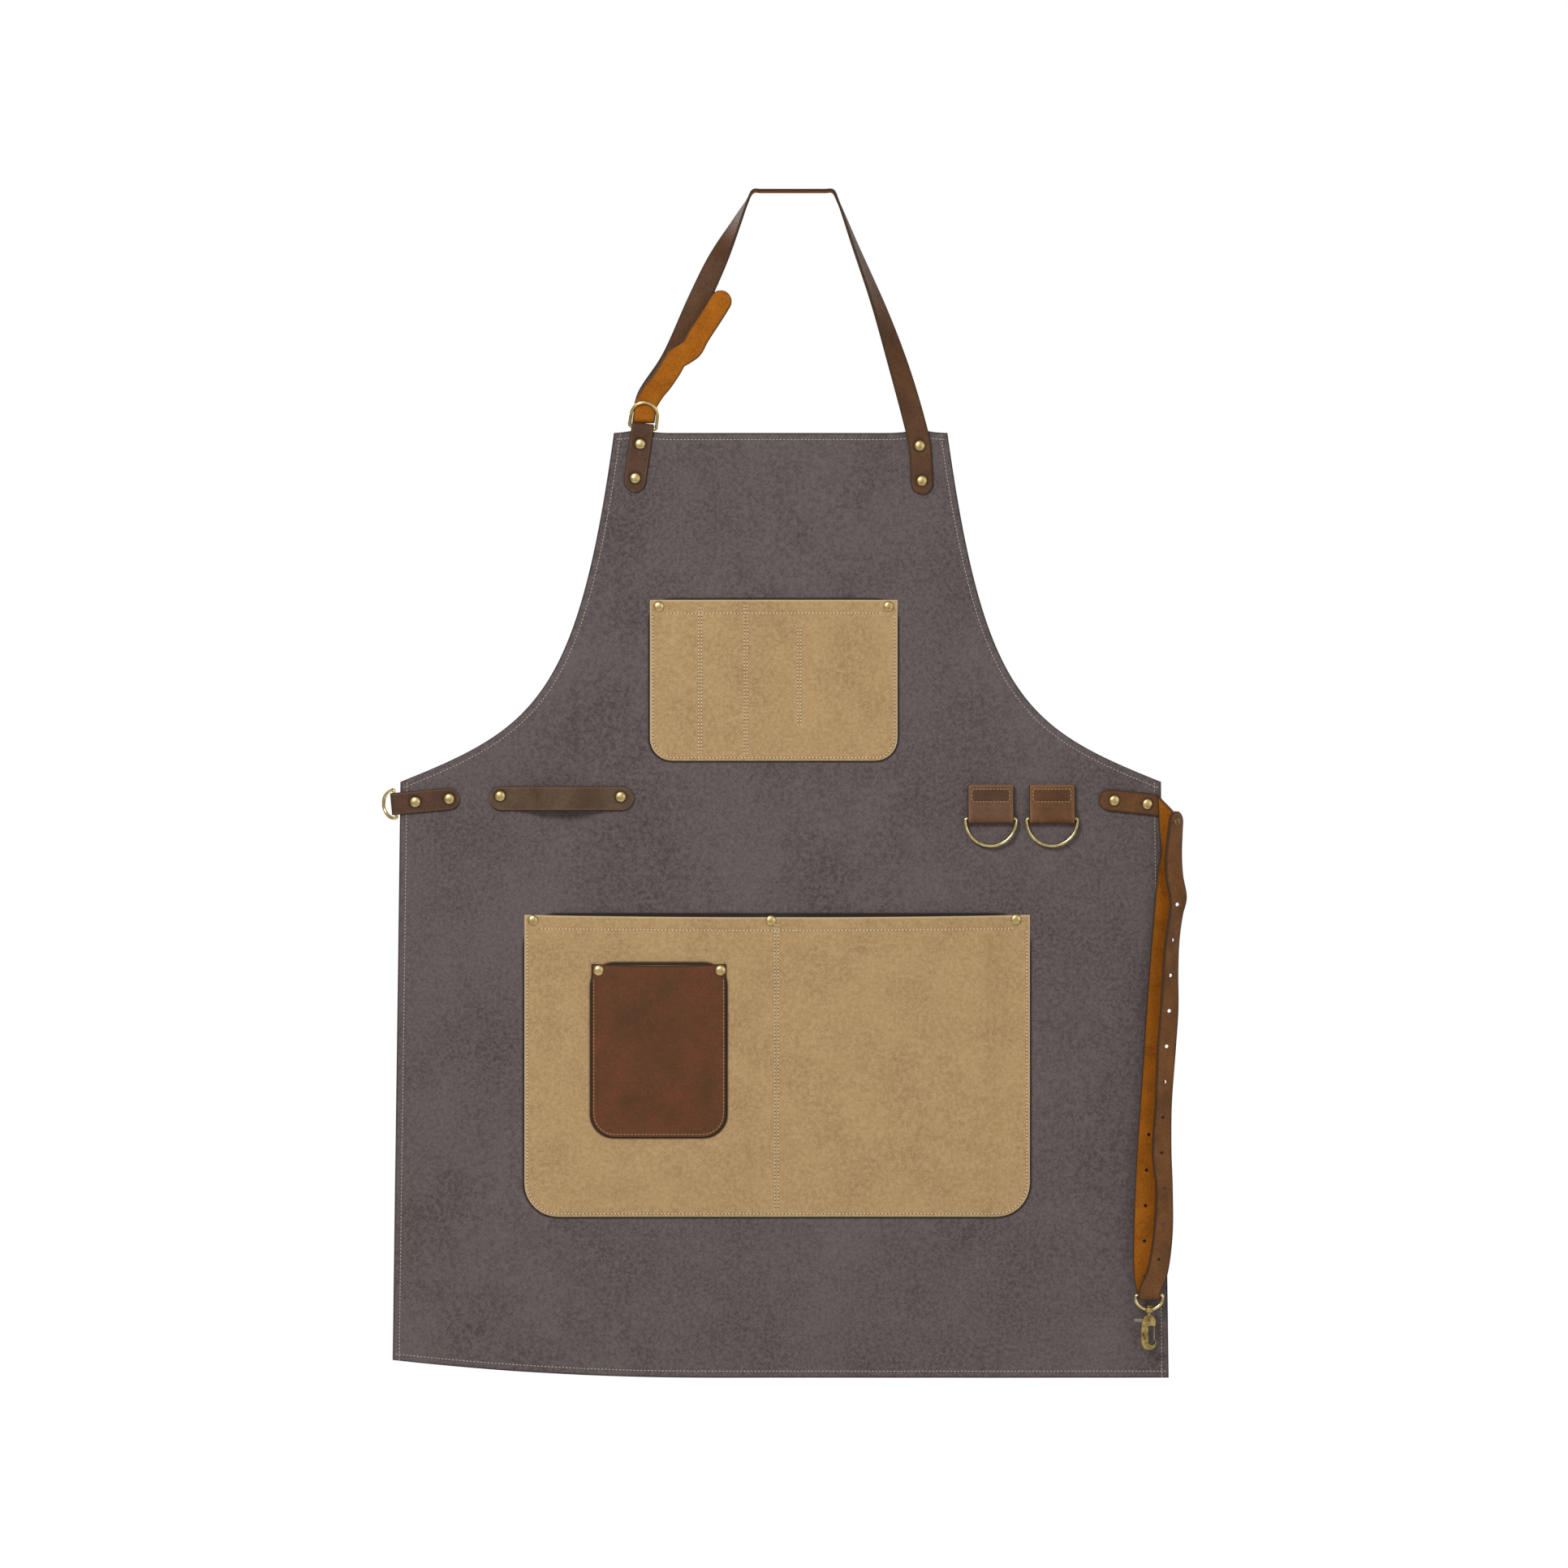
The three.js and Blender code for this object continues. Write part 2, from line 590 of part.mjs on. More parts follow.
function strapStud() {
  const { x, z, capRadius, neckRadius } = STUD;
  const front = -9.6 - GAP - 0.2;
  const back = -3.2 + GAP;
  return turnedAlongY([
    [0, front - 1.5],
    [0.7 * capRadius, front - 1.2],
    [capRadius, front - 0.4],
    [capRadius, front],
    [neckRadius, front],
    [neckRadius, back],
    [capRadius, back],
    [capRadius, back + 1],
    [0, back + 1],
  ], x, z);
}

// The snap's eye: a D of wire with a drilled boss on its bow for the swivel.
function snapEye() {
  const ring = wireD(SNAP_EYE).rotateY(Math.PI).translate(SNAP.x, SNAP.y, SNAP.bar);
  const { radius, top, bottom } = SNAP_BOSS;
  const upright = (r, height, middle) => new THREE.CylinderGeometry(r, r, height, 14)
    .rotateX(Math.PI / 2)
    .translate(SNAP.x, SNAP.y, middle);
  const middle = (top + bottom) / 2;
  const boss = upright(radius, top - bottom, middle);
  const bore = upright(SWIVEL_RADIUS + GAP, 3 * (top - bottom), middle);
  return cut(join([ring, boss]), [bore]);
}

// The hook: spine on the left, mouth on the right, a slot through its head for the
// trigger, and a swivel post that is headed over inside the eye.
function snapHook() {
  const { top, thickness, slot, pivotDepth, pinRadius } = HOOK;
  const outline = new THREE.Shape();
  outline.moveTo(3.6, 0);
  outline.lineTo(-3.6, 0);
  outline.lineTo(-6.2, -5);
  outline.quadraticCurveTo(-7.9, -13.5, -6.9, -23.9);
  outline.absarc(-0.2, -23.9, 6.7, Math.PI, 2 * Math.PI, false);
  outline.lineTo(6.5, -21.4);
  outline.lineTo(5.3, -21.4);
  outline.lineTo(5.3, -23.4);
  outline.absarc(2.3, -23.4, 3, 0, -Math.PI, true);
  outline.lineTo(-0.7, -9);
  outline.lineTo(5.8, -9);
  outline.lineTo(5.8, -4);
  const profile = plate(outline, -thickness / 2, thickness, 5);
  const swivel = new THREE.LatheGeometry([
    [0, 10], [2, 9.6], [3, 8.2], [3, 7.8], [SWIVEL_RADIUS, 7.8], [SWIVEL_RADIUS, -1], [0, -1],
  ].map(([radius, height]) => new THREE.Vector2(radius, height)).reverse(), 12);
  swivel.rotateX(Math.PI / 2);
  const mouthSlot = new THREE.BoxGeometry(20, slot, 9).translate(0, 0, -1.6 - 4.5);
  const pinBore = drill(0, -pivotDepth, pinRadius + GAP, -8, 8, 8);
  const hook = cut(join([profile, swivel]), [mouthSlot, pinBore]);
  return hook.translate(SNAP.x, SNAP.y, top);
}

// The trigger: a thumb lever on the left and a gate that closes the mouth on the right.
function snapTrigger() {
  const { top, slot, pivotDepth, pinRadius } = HOOK;
  const thickness = slot - 2 * GAP;
  const outline = new THREE.Shape();
  outline.moveTo(-13.4, -2.4);
  outline.lineTo(-13.4, -5.4);
  outline.lineTo(-7.5, -5.8);
  outline.lineTo(3.8, -7);
  outline.lineTo(3.8, -22.9);
  outline.lineTo(5.1, -22.9);
  outline.lineTo(5.1, -4.6);
  outline.lineTo(1.5, -2.6);
  outline.lineTo(-7.5, -2.9);
  const bore = new THREE.Path();
  bore.absarc(0, -pivotDepth, pinRadius + GAP, 0, 2 * Math.PI, true);
  outline.holes = [bore];
  return plate(outline, -thickness / 2, thickness, 4).translate(SNAP.x, SNAP.y, top);
}

function triggerPin() {
  const { top, thickness, pivotDepth, pinRadius } = HOOK;
  return turnedAlongY([
    [0, -thickness / 2], [pinRadius, -thickness / 2], [pinRadius, thickness / 2], [0, thickness / 2],
  ], 0, 0, 8).translate(SNAP.x, SNAP.y, top - pivotDepth);
}

function addWaistStrap() {
  addAnchor();
  add('waist_strap', waistStrap(), 'strapLeather');
  add('strap_stud', strapStud(), 'brass');
  add('snap_eye', snapEye(), 'brass');
  add('snap_hook', snapHook(), 'brass');
  add('snap_trigger', snapTrigger(), 'brass');
  add('trigger_pin', triggerPin(), 'brass');
}

const panelRivets = [
  onPanel(NECK_TAB, 0, 0),
  onPanel(NECK_TAB, 0, NECK_TAB.rivetSpacing),
  ...NECK_RIVETS,
  onPanel(WAIST_TAB, 0, 0),
  onPanel(WAIST_TAB, 0, WAIST_TAB.rivetSpacing),
  ...TOWEL_RIVETS,
  ...CHEST_RIVETS,
  ...LOWER_RIVETS,
  onPanel(ANCHOR, 0, 0),
  onPanel(ANCHOR, ANCHOR.rivetSpacing, 0),
];
add('body_panel', panel(panelRivets), 'canvas');
addPockets();
addNeck();
addWaistRing();
add('towel_loop', towelLoop(), 'leather');
TOWEL_RIVETS.forEach(([x, z], i) =>
  addRivet(`towel_loop_rivet_${i + 1}`, x, z, -GAP - LEATHER, CANVAS));
addToolRings();
addWaistStrap();

export default apron;
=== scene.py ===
# Butcher's work apron, from its camera and light to its last rivet, in metres. Sizes are
# written in millimetres where they are set and turned to metres where they are used.

import math

import bpy
import numpy as np
from mathutils import Matrix, Vector, noise


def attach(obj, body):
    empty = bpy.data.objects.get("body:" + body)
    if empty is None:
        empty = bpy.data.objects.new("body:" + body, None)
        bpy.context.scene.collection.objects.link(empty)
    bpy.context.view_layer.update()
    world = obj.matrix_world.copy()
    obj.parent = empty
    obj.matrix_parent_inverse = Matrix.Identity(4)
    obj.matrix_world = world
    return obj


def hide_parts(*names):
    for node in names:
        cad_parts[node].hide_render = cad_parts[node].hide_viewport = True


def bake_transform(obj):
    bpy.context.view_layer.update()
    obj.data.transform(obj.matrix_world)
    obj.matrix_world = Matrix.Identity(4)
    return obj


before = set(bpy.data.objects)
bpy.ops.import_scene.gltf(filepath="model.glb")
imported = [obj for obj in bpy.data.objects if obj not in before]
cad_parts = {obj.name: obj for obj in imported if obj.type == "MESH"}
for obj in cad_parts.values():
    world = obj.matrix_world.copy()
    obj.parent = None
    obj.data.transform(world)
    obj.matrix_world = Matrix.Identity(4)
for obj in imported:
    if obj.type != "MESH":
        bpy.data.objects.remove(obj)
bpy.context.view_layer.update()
MM = 0.001


# Camera, light and floor ------------------------------------------------------------
# A long lens square to the panel, a soft key light above and in front on the left, a wide
# weak fill on the right, two lights behind, and a pale painted floor below the hem.

VIEW_WIDTH = 1.410  # what the frame takes in at the panel
VIEW_DISTANCE = 6.0

camera_data = bpy.data.cameras.new("camera")
camera_data.lens = camera_data.sensor_width * VIEW_DISTANCE / VIEW_WIDTH
camera = bpy.data.objects.new("camera", camera_data)
camera.location = (0.003, -VIEW_DISTANCE, -0.532)
camera.rotation_euler = (math.pi / 2, 0, 0)
bpy.context.scene.collection.objects.link(camera)
bpy.context.scene.camera = camera
bpy.context.scene.view_settings.view_transform = "Standard"


def srgb(code):
    """A linear colour from a hex code as seen on a screen."""
    shares = [int(code[i:i + 2], 16) / 255 for i in (1, 3, 5)]
    linear = [s / 12.92 if s <= 0.04045 else ((s + 0.055) / 1.055) ** 2.4 for s in shares]
    return (*linear, 1)


def feed(tree, node, socket, source):
    """Feeds a node's input with a value or with another node."""
    if isinstance(source, bpy.types.NodeSocket):
        tree.links.new(source, node.inputs[socket])
    else:
        node.inputs[socket].default_value = source


def add_node(tree, kind, settings=None, feeds=None):
    """A node with its settings, each of its inputs fed by a value or by another node."""
    node = tree.nodes.new(kind)
    for setting, value in (settings or {}).items():
        setattr(node, setting, value)
    for socket, source in (feeds or {}).items():
        feed(tree, node, socket, source)
    return node


def new_material(name):
    """A material and its node tree."""
    material = bpy.data.materials.new(name)
    material.use_nodes = True
    return material, material.node_tree


def place_of(tree):
    """A point's place on its piece."""
    return add_node(tree, "ShaderNodeTexCoord").outputs["Object"]


def attribute_of(tree, name):
    """What the piece's own attribute says at a point."""
    return add_node(tree, "ShaderNodeAttribute", {"attribute_name": name}).outputs["Fac"]


def clouds_of(tree, place, scale, detail, roughness=0.5, distortion=0.0):
    """A cloudy value from 0 to 1."""
    return add_node(tree, "ShaderNodeTexNoise", feeds={
        "Vector": place, "Scale": scale, "Detail": detail, "Roughness": roughness,
        "Distortion": distortion}).outputs["Fac"]


def ranged(tree, value, low, high, to_low=0.0, to_high=1.0, kind="LINEAR"):
    """A value moved from one range to another, and held inside it."""
    return add_node(tree, "ShaderNodeMapRange", {"interpolation_type": kind}, {
        "Value": value, "From Min": low, "From Max": high, "To Min": to_low, "To Max": to_high,
    }).outputs["Result"]


def mixed(tree, share, first, second):
    """A colour between two colours."""
    return add_node(tree, "ShaderNodeMix", {"data_type": "RGBA"}, {
        0: share, 6: first, 7: second}).outputs[2]


def worked_out(tree, operation, *values, clamp=False):
    """What a Math node makes of its values."""
    return add_node(tree, "ShaderNodeMath", {"operation": operation, "use_clamp": clamp},
                    dict(enumerate(values))).outputs[0]


def worked_out_vector(tree, operation, *values):
    """What a Vector Math node makes of its vectors."""
    return add_node(tree, "ShaderNodeVectorMath", {"operation": operation},
                    dict(enumerate(values))).outputs[0]


def finish_surface(tree, colour, roughness, relief, strength, depth):
    """Gives a surface its colour, its roughness and the bump of its relief."""
    bump = add_node(tree, "ShaderNodeBump", feeds={
        "Strength": strength, "Distance": depth, "Height": relief}).outputs[0]
    shader = tree.nodes["Principled BSDF"]
    for socket, given in (("Base Color", colour), ("Roughness", roughness), ("Normal", bump)):
        feed(tree, shader, socket, given)
    return shader


def add_light(name, place, size, power):
    """A square soft light that faces the middle of the apron."""
    data = bpy.data.lights.new(name, "AREA")
    data.size = size
    data.energy = power
    light = bpy.data.objects.new(name, data)
    light.location = place
    light.rotation_mode = "QUATERNION"
    light.rotation_quaternion = (Vector((0, 0, -0.55)) - light.location).to_track_quat("-Z", "Y")
    bpy.context.scene.collection.objects.link(light)


add_light("key", (-1.2, -2.9, 1.1), 1.0, 66)
add_light("fill", (2.2, -2.8, 0.1), 2.2, 20)
add_light("back_left", (-2.2, 2.6, 0.9), 1.8, 45)
add_light("back_right", (2.2, 2.2, 0.2), 1.8, 25)

# The backdrop is white to the eye and a softer grey as a light.
world = bpy.data.worlds.new("studio")
bpy.context.scene.world = world
world.use_nodes = True
sky = world.node_tree
seen = add_node(sky, "ShaderNodeLightPath")
strength = add_node(sky, "ShaderNodeMapRange", feeds={
    "Value": seen.outputs["Is Camera Ray"], "To Min": 0.36, "To Max": 1.0,
})
background = sky.nodes["Background"]
background.inputs["Color"].default_value = (1, 1, 1, 1)
sky.links.new(strength.outputs["Result"], background.inputs["Strength"])


def start_clean():
    """Leaves edit mode with nothing selected."""
    if bpy.context.object and bpy.context.object.mode != "OBJECT":
        bpy.ops.object.mode_set(mode="OBJECT")
    bpy.ops.object.select_all(action="DESELECT")


def only(piece):
    """Makes one piece the selected and active one."""
    start_clean()
    piece.select_set(True)
    bpy.context.view_layer.objects.active = piece


def apply_modifier(piece, kind, **settings):
    """Adds a modifier, sets it and applies it to the mesh."""
    only(piece)
    modifier = piece.modifiers.new(kind.lower(), kind)
    for setting, value in settings.items():
        setattr(modifier, setting, value)
    bpy.ops.object.modifier_apply(modifier=modifier.name)


def settle(piece, name, *materials):
    """Names a finished piece, puts its place into its mesh and gives it its materials."""
    only(piece)
    bpy.ops.object.transform_apply(location=True, rotation=True, scale=True)
    piece.name = name
    piece.data.name = name
    if len(piece.data.materials) == 0:
        for material in materials:
            piece.data.materials.append(material)
    return piece


# Matt emulsion paint on boards: a nearly even off-white with faint roller marks.
floor_paint, tree = new_material("matt_floor_paint")
roller_marks = clouds_of(tree, place_of(tree), 9.0, 3.0)
shader = tree.nodes["Principled BSDF"]
feed(tree, shader, "Base Color", mixed(tree, roller_marks, srgb("#e9e8e5"), srgb("#f2f1ee")))
feed(tree, shader, "Roughness", 0.85)

start_clean()
bpy.ops.mesh.primitive_circle_add(vertices=96, radius=1.85, fill_type="NGON", location=(0, 0, -1.5))
floor = settle(bpy.context.object, "floor", floor_paint)


# Canvas panel -----------------------------------------------------------------------
# One piece of waxed cotton canvas: a bib with curved armholes on a wide skirt. Its edges
# are turned once to the back and sewn down with a light thread, 6 mm inside the edge.

PANEL_TOP = -216.3
PANEL_SIDE = -530.0
PANEL_SIDE_HALF = 342.0
PANEL_HEM = -1066.0
PANEL_HEM_HALF = 349.0
HEM_LIFT = 16.0  # the left corner hangs this much higher
HEM_LIFT_FROM = -60.0
ARMHOLE = [(150.0, PANEL_TOP), (183.0, -456.0), (222.0, -482.0), (PANEL_SIDE_HALF, PANEL_SIDE)]
CANVAS = 1.2
TURNED_EDGE = 10.0
PANEL_STITCH_INSET = 6.0
THREAD_PITCH = 3.2

# The outlines of the pockets, with how far each top edge sags and how thick its hem is.
CHEST = {"left": -117.5, "right": 105.0, "top": -366.5, "bottom": -511.0, "radius": 20.0,
         "dip": 0.0, "hem": 0.45}
LOWER = {"left": -230.3, "right": 224.0, "top": -649.7, "bottom": -921.0, "radius": 30.0,
         "dip": 2.2, "hem": 0.45}
HIDE = {"left": -170.0, "right": -49.0, "top": -693.5, "bottom": -849.0, "radius": 20.5,
        "dip": 1.8, "hem": 0.0}

# Where something holds the canvas flat: [x, z] of rivets and sewn tabs.
HELD_AT = [
    (-130.7, -257), (-126.3, -226.3), (125.1, -227.8), (127, -259.4), (-298, -545.3), (-328.5, -548.2),
    (-252.2, -542.8), (-143.8, -543.5), (300, -546.8), (329.8, -550.1), (188.8, -545), (243.9, -545),
    (-109.5, -372.3), (97.1, -372.3), (-222.7, -654.5), (-8.8, -654.8), (211.7, -653.8),
]


def smooth(value):
    """An even ease from 0 to 1."""
    share = min(max(value, 0), 1)
    return share * share * (3 - 2 * share)


def drape(x, z):
    """How far the canvas stands behind its flat at a place on the panel, in millimetres."""
    wave = 2.6 * noise.noise(Vector((x / 190, z / 300, 0.3)))
    ripple = 0.9 * noise.noise(Vector((x / 55, z / 80, 5.1)))
    nearest = min(math.hypot(x - held_x, z - held_z) for held_x, held_z in HELD_AT)
    return (wave + ripple) * smooth((nearest - 8) / 40)


def along_curve(corners, share):
    """A point of a Bezier curve."""
    a, b, c, d = (Vector(corner) for corner in corners)
    back = 1 - share
    return back**3 * a + 3 * back**2 * share * b + 3 * back * share**2 * c + share**3 * d


def spaced(points, gap):
    """The same line through evenly spaced points, about gap apart."""
    line = np.array(points, float)
    lengths = np.concatenate([[0], np.cumsum(np.linalg.norm(np.diff(line, axis=0), axis=1))])
    count = max(2, int(round(lengths[-1] / gap)) + 1)
    marks = np.linspace(0, lengths[-1], count)
    return [[float(np.interp(mark, lengths, line[:, k])) for k in range(line.shape[1])] for mark in marks]


armhole_line = spaced([along_curve(ARMHOLE, i / 200) for i in range(201)], 4.6)
side_line = spaced([(PANEL_SIDE_HALF, PANEL_SIDE), (PANEL_HEM_HALF, PANEL_HEM)], 6.0)
EDGE_LINES = [0.0, 0.7, 2.0, 6.0, TURNED_EDGE]


def panel_half(z):
    """Half the panel's width at a height."""
    line = armhole_line + side_line[1:]
    return float(np.interp(-z, [-point[1] for point in line], [point[0] for point in line]))


def hem_lift(x, z):
    """How far the hem's curve lifts the canvas near its left corner."""
    beyond = max(0, (HEM_LIFT_FROM - x) / (PANEL_HEM_HALF + HEM_LIFT_FROM))
    return HEM_LIFT * beyond**2 * max(0, (PANEL_SIDE - z) / (PANEL_SIDE - PANEL_HEM))


def peak(x, z):
    """How far the pull of the neck strap and the neck tab lifts the top edge."""
    near = math.exp(-((x + 127) / 13) ** 2) + math.exp(-((x - 124) / 13) ** 2)
    return 2.6 * near * smooth((z - PANEL_TOP + 26) / 26)


def panel_place(share, inset, z):
    """A place on the panel: a share of the way across, and inset from one edge."""
    half = panel_half(z)
    x = -half + 2 * half * share + inset
    return x, z + hem_lift(x, z) + peak(x, z)


def cloth(name, across, down, put, thickness, material):
    """A sheet that runs through the lines across and down, where put lays each crossing.
    The outermost lines carry an edge attribute. Its thickness lies behind its face."""
    start_clean()
    bpy.ops.mesh.primitive_grid_add(
        x_subdivisions=len(across) - 1, y_subdivisions=len(down) - 1, size=1)
    piece = bpy.context.object
    mesh = piece.data
    edge = mesh.attributes.new("edge", "FLOAT", "POINT")
    for vertex in mesh.vertices:
        column = round((vertex.co.x + 0.5) * (len(across) - 1))
        row = round((0.5 - vertex.co.y) * (len(down) - 1))
        from_edge = min(column, row, len(across) - 1 - column, len(down) - 1 - row)
        edge.data[vertex.index].value = (1, 0.55, 0)[min(from_edge, 2)]
        vertex.co = put(across[column], down[row])
    apply_modifier(piece, "SOLIDIFY", thickness=thickness * MM, offset=-1)
    only(piece)
    bpy.ops.object.shade_smooth_by_angle(angle=math.radians(50))
    return settle(piece, name, material)


# The colour of the painted shadow along the pockets' outlines, on the canvas round them.
POCKET_SHADOW_COLOUR = "#2c2621"
SHADOW_NEAR, SHADOW_FAR = 0.7, 3.0  # the painted shadow fades between these distances from an outline

# Waxed cotton canvas, dyed grey brown and washed: a matt plain weave with a heather of paler and darker
# threads, cloudy patches and paler fold lines. Its darker turned edges and the darker hollows of its weave
# are painted shade, and a painted shadow lies on its front along the outlines of the pockets it is given.
# Threads lie 0.6 mm apart; the weave is drawn at 1.7 mm so that it shows.
def woven(name, main, pale, deep, thread_spacing, patch_size, edge_colour, roughness,
          crease_share, painted_shadow_round):
    material, tree = new_material(name)
    place = place_of(tree)
    bent = add_node(tree, "ShaderNodeTexNoise", feeds={"Vector": place, "Scale": 60.0, "Detail": 2.0})
    shift = worked_out_vector(
        tree, "MULTIPLY_ADD", bent.outputs["Color"], (0.0012, 0.0012, 0.0012), place)
    scale = math.pi / (10 * thread_spacing * MM)
    thread_sides = []
    for direction in ("X", "Z"):
        threads = add_node(tree, "ShaderNodeTexWave", {"bands_direction": direction}, {
            "Vector": shift, "Scale": scale / 2}).outputs["Fac"]
        thread_sides.append(worked_out(tree, "SUBTRACT", threads, 0.5))
    weave = worked_out(tree, "MULTIPLY_ADD", *thread_sides, 0.25)
    heather = clouds_of(tree, place, 330.0, 3.0, 0.65, 0.6)
    fleck = ranged(tree, heather, 0.38, 0.62)
    cloud = ranged(tree, clouds_of(tree, place, 1000 / patch_size, 4.0, 0.62), 0.36, 0.64)
    ground = mixed(tree, cloud, srgb(main), srgb(deep))
    flecked = mixed(tree, worked_out(tree, "MULTIPLY", fleck, 0.62), ground, srgb(pale))
    # The weave's hollows take edge_colour: on the waxed canvas a painted shade, on the tan canvas a paler
    # tone.
    hollow = ranged(tree, weave, 0.02, 0.22, 0.26, 0.0)
    colour = mixed(tree, hollow, flecked, srgb(edge_colour))
    folds = clouds_of(tree, place, 26.0, 6.0, 0.6, 1.2)
    from_fold = worked_out(tree, "ABSOLUTE", worked_out(tree, "SUBTRACT", folds, 0.5))
    worn_here = ranged(tree, clouds_of(tree, place, 17.0, 1.0), 0.48, 0.62, 0.0, crease_share)
    fold_line = ranged(tree, from_fold, 0.0, 0.014, 1.0, 0.0)
    colour = mixed(tree, worked_out(tree, "MULTIPLY", worn_here, fold_line), colour, srgb(pale))
    normal = add_node(tree, "ShaderNodeNewGeometry").outputs["Normal"]
    to_back = add_node(tree, "ShaderNodeSeparateXYZ", feeds={0: normal}).outputs["Y"]
    facing_front = worked_out(tree, "MULTIPLY", to_back, -0.95, clamp=True)
    # Painted shadow: a dark band along each given pocket's outline, on front faces only, for the shadow
    # that the pocket's edge casts.
    for edges in painted_shadow_round:
        corner = edges["radius"]
        centre = ((edges["left"] + edges["right"]) / 2 * MM, 0, (edges["top"] + edges["bottom"]) / 2 * MM)
        half = ((edges["right"] - edges["left"]) / 2 * MM - corner * MM, 0,
                (edges["top"] - edges["bottom"]) / 2 * MM - corner * MM)
        folded = worked_out_vector(tree, "ABSOLUTE", worked_out_vector(tree, "SUBTRACT", place, centre))
        beyond = worked_out_vector(tree, "SUBTRACT", folded, half)
        outside = worked_out_vector(tree, "MAXIMUM", beyond, (0, 0, 0))
        flat = worked_out_vector(tree, "MULTIPLY", outside, (1, 0, 1))
        reach = add_node(tree, "ShaderNodeVectorMath", {"operation": "LENGTH"}, {0: flat})
        distance = reach.outputs["Value"]
        from_line = worked_out(tree, "ABSOLUTE", worked_out(tree, "SUBTRACT", distance, corner * MM))
        painted_shadow = ranged(tree, from_line, SHADOW_NEAR * MM, SHADOW_FAR * MM, facing_front, 0.0, "SMOOTHSTEP")
        colour = mixed(tree, painted_shadow, colour, srgb(POCKET_SHADOW_COLOUR))
    # The outermost lines take edge_colour: on the waxed canvas a painted shade along its turned edges, on
    # the tan canvas a paler worn rim.
    edged = mixed(tree, attribute_of(tree, "edge"), colour, srgb(edge_colour))
    relief = worked_out(tree, "MULTIPLY_ADD", heather, 0.9, weave)
    shader = finish_surface(tree, edged, roughness, relief, 0.55, 0.0005)
    feed(tree, shader, "Specular IOR Level", 0.15)
    return material


waxed_canvas = woven("waxed_cotton_canvas", "#5d5453", "#75696a", "#4d4544", 1.7, 90, "#2e2826", 0.82,
                     crease_share=0.35, painted_shadow_round=[CHEST, LOWER])

across = [(0, inset) for inset in EDGE_LINES[:-1]] \
    + [(share, TURNED_EDGE * (1 - 2 * share)) for share in np.linspace(0, 1, 124)] \
    + [(1, -inset) for inset in reversed(EDGE_LINES[:-1])]
bib_levels = [point[1] for point in armhole_line if point[1] < PANEL_TOP - TURNED_EDGE - 2]
skirt_levels = [point[1] for point in side_line[1:] if point[1] > PANEL_HEM + TURNED_EDGE + 2]
down = [PANEL_TOP - inset for inset in EDGE_LINES] + bib_levels + skirt_levels \
    + [PANEL_HEM + inset for inset in reversed(EDGE_LINES)]
EDGE_ROLL = {0.0: 0.55, 0.7: 0.15}  # how far the turned edge rolls back, by its inset


def put_panel(column, z):
    share, inset = column
    x, height = panel_place(share, inset, z)
    from_ends = min(PANEL_TOP - z, z - PANEL_HEM)
    from_sides = abs(inset) if share in (0, 1) else TURNED_EDGE
    roll = EDGE_ROLL.get(round(min(from_ends, from_sides), 3), 0)
    return Vector((x, drape(x, height) + roll, height)) * MM


panel = cloth("canvas_panel", across, down, put_panel, CANVAS, waxed_canvas)
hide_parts("body_panel")
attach(panel, "apron")

# The turned edge on the back: the outermost strip of the cloth again, behind the panel.
def put_turned_edge(depth):
    def put(column, row):
        return put_panel(column, row) + Vector((0, (CANVAS + depth) * MM, 0))
    return put


turned_edge = cloth("turned_edge", across, down, put_turned_edge(0.05), 0.9, waxed_canvas)
only(turned_edge)
bpy.ops.object.mode_set(mode="EDIT")
bpy.ops.mesh.select_all(action="DESELECT")
bpy.ops.object.mode_set(mode="OBJECT")
for face in turned_edge.data.polygons:
    x, z = face.center.x / MM, face.center.z / MM
    level = z - hem_lift(x, z) - peak(x, z)
    inside = min(panel_half(level) - abs(x), PANEL_TOP - level, level - PANEL_HEM)
    face.select = inside > TURNED_EDGE - 0.5
bpy.ops.object.mode_set(mode="EDIT")
bpy.ops.mesh.delete(type="FACE")
bpy.ops.object.mode_set(mode="OBJECT")
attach(turned_edge, "apron")


def inset_line(points, distance, gap=2.0):
    """A line beside another one, distance to its left as it runs, in the panel's plane."""
    line = np.array(spaced(points, gap))
    ahead = np.gradient(line, axis=0)
    ahead /= np.linalg.norm(ahead, axis=1)[:, None]
    return [(x - distance * dz, z + distance * dx) for (x, z), (dx, dz) in zip(line, ahead)]


NEEDLE_HOLE = 0.9  # a needle hole's width as a share of its thread's
HOLE_LIFT = 0.02


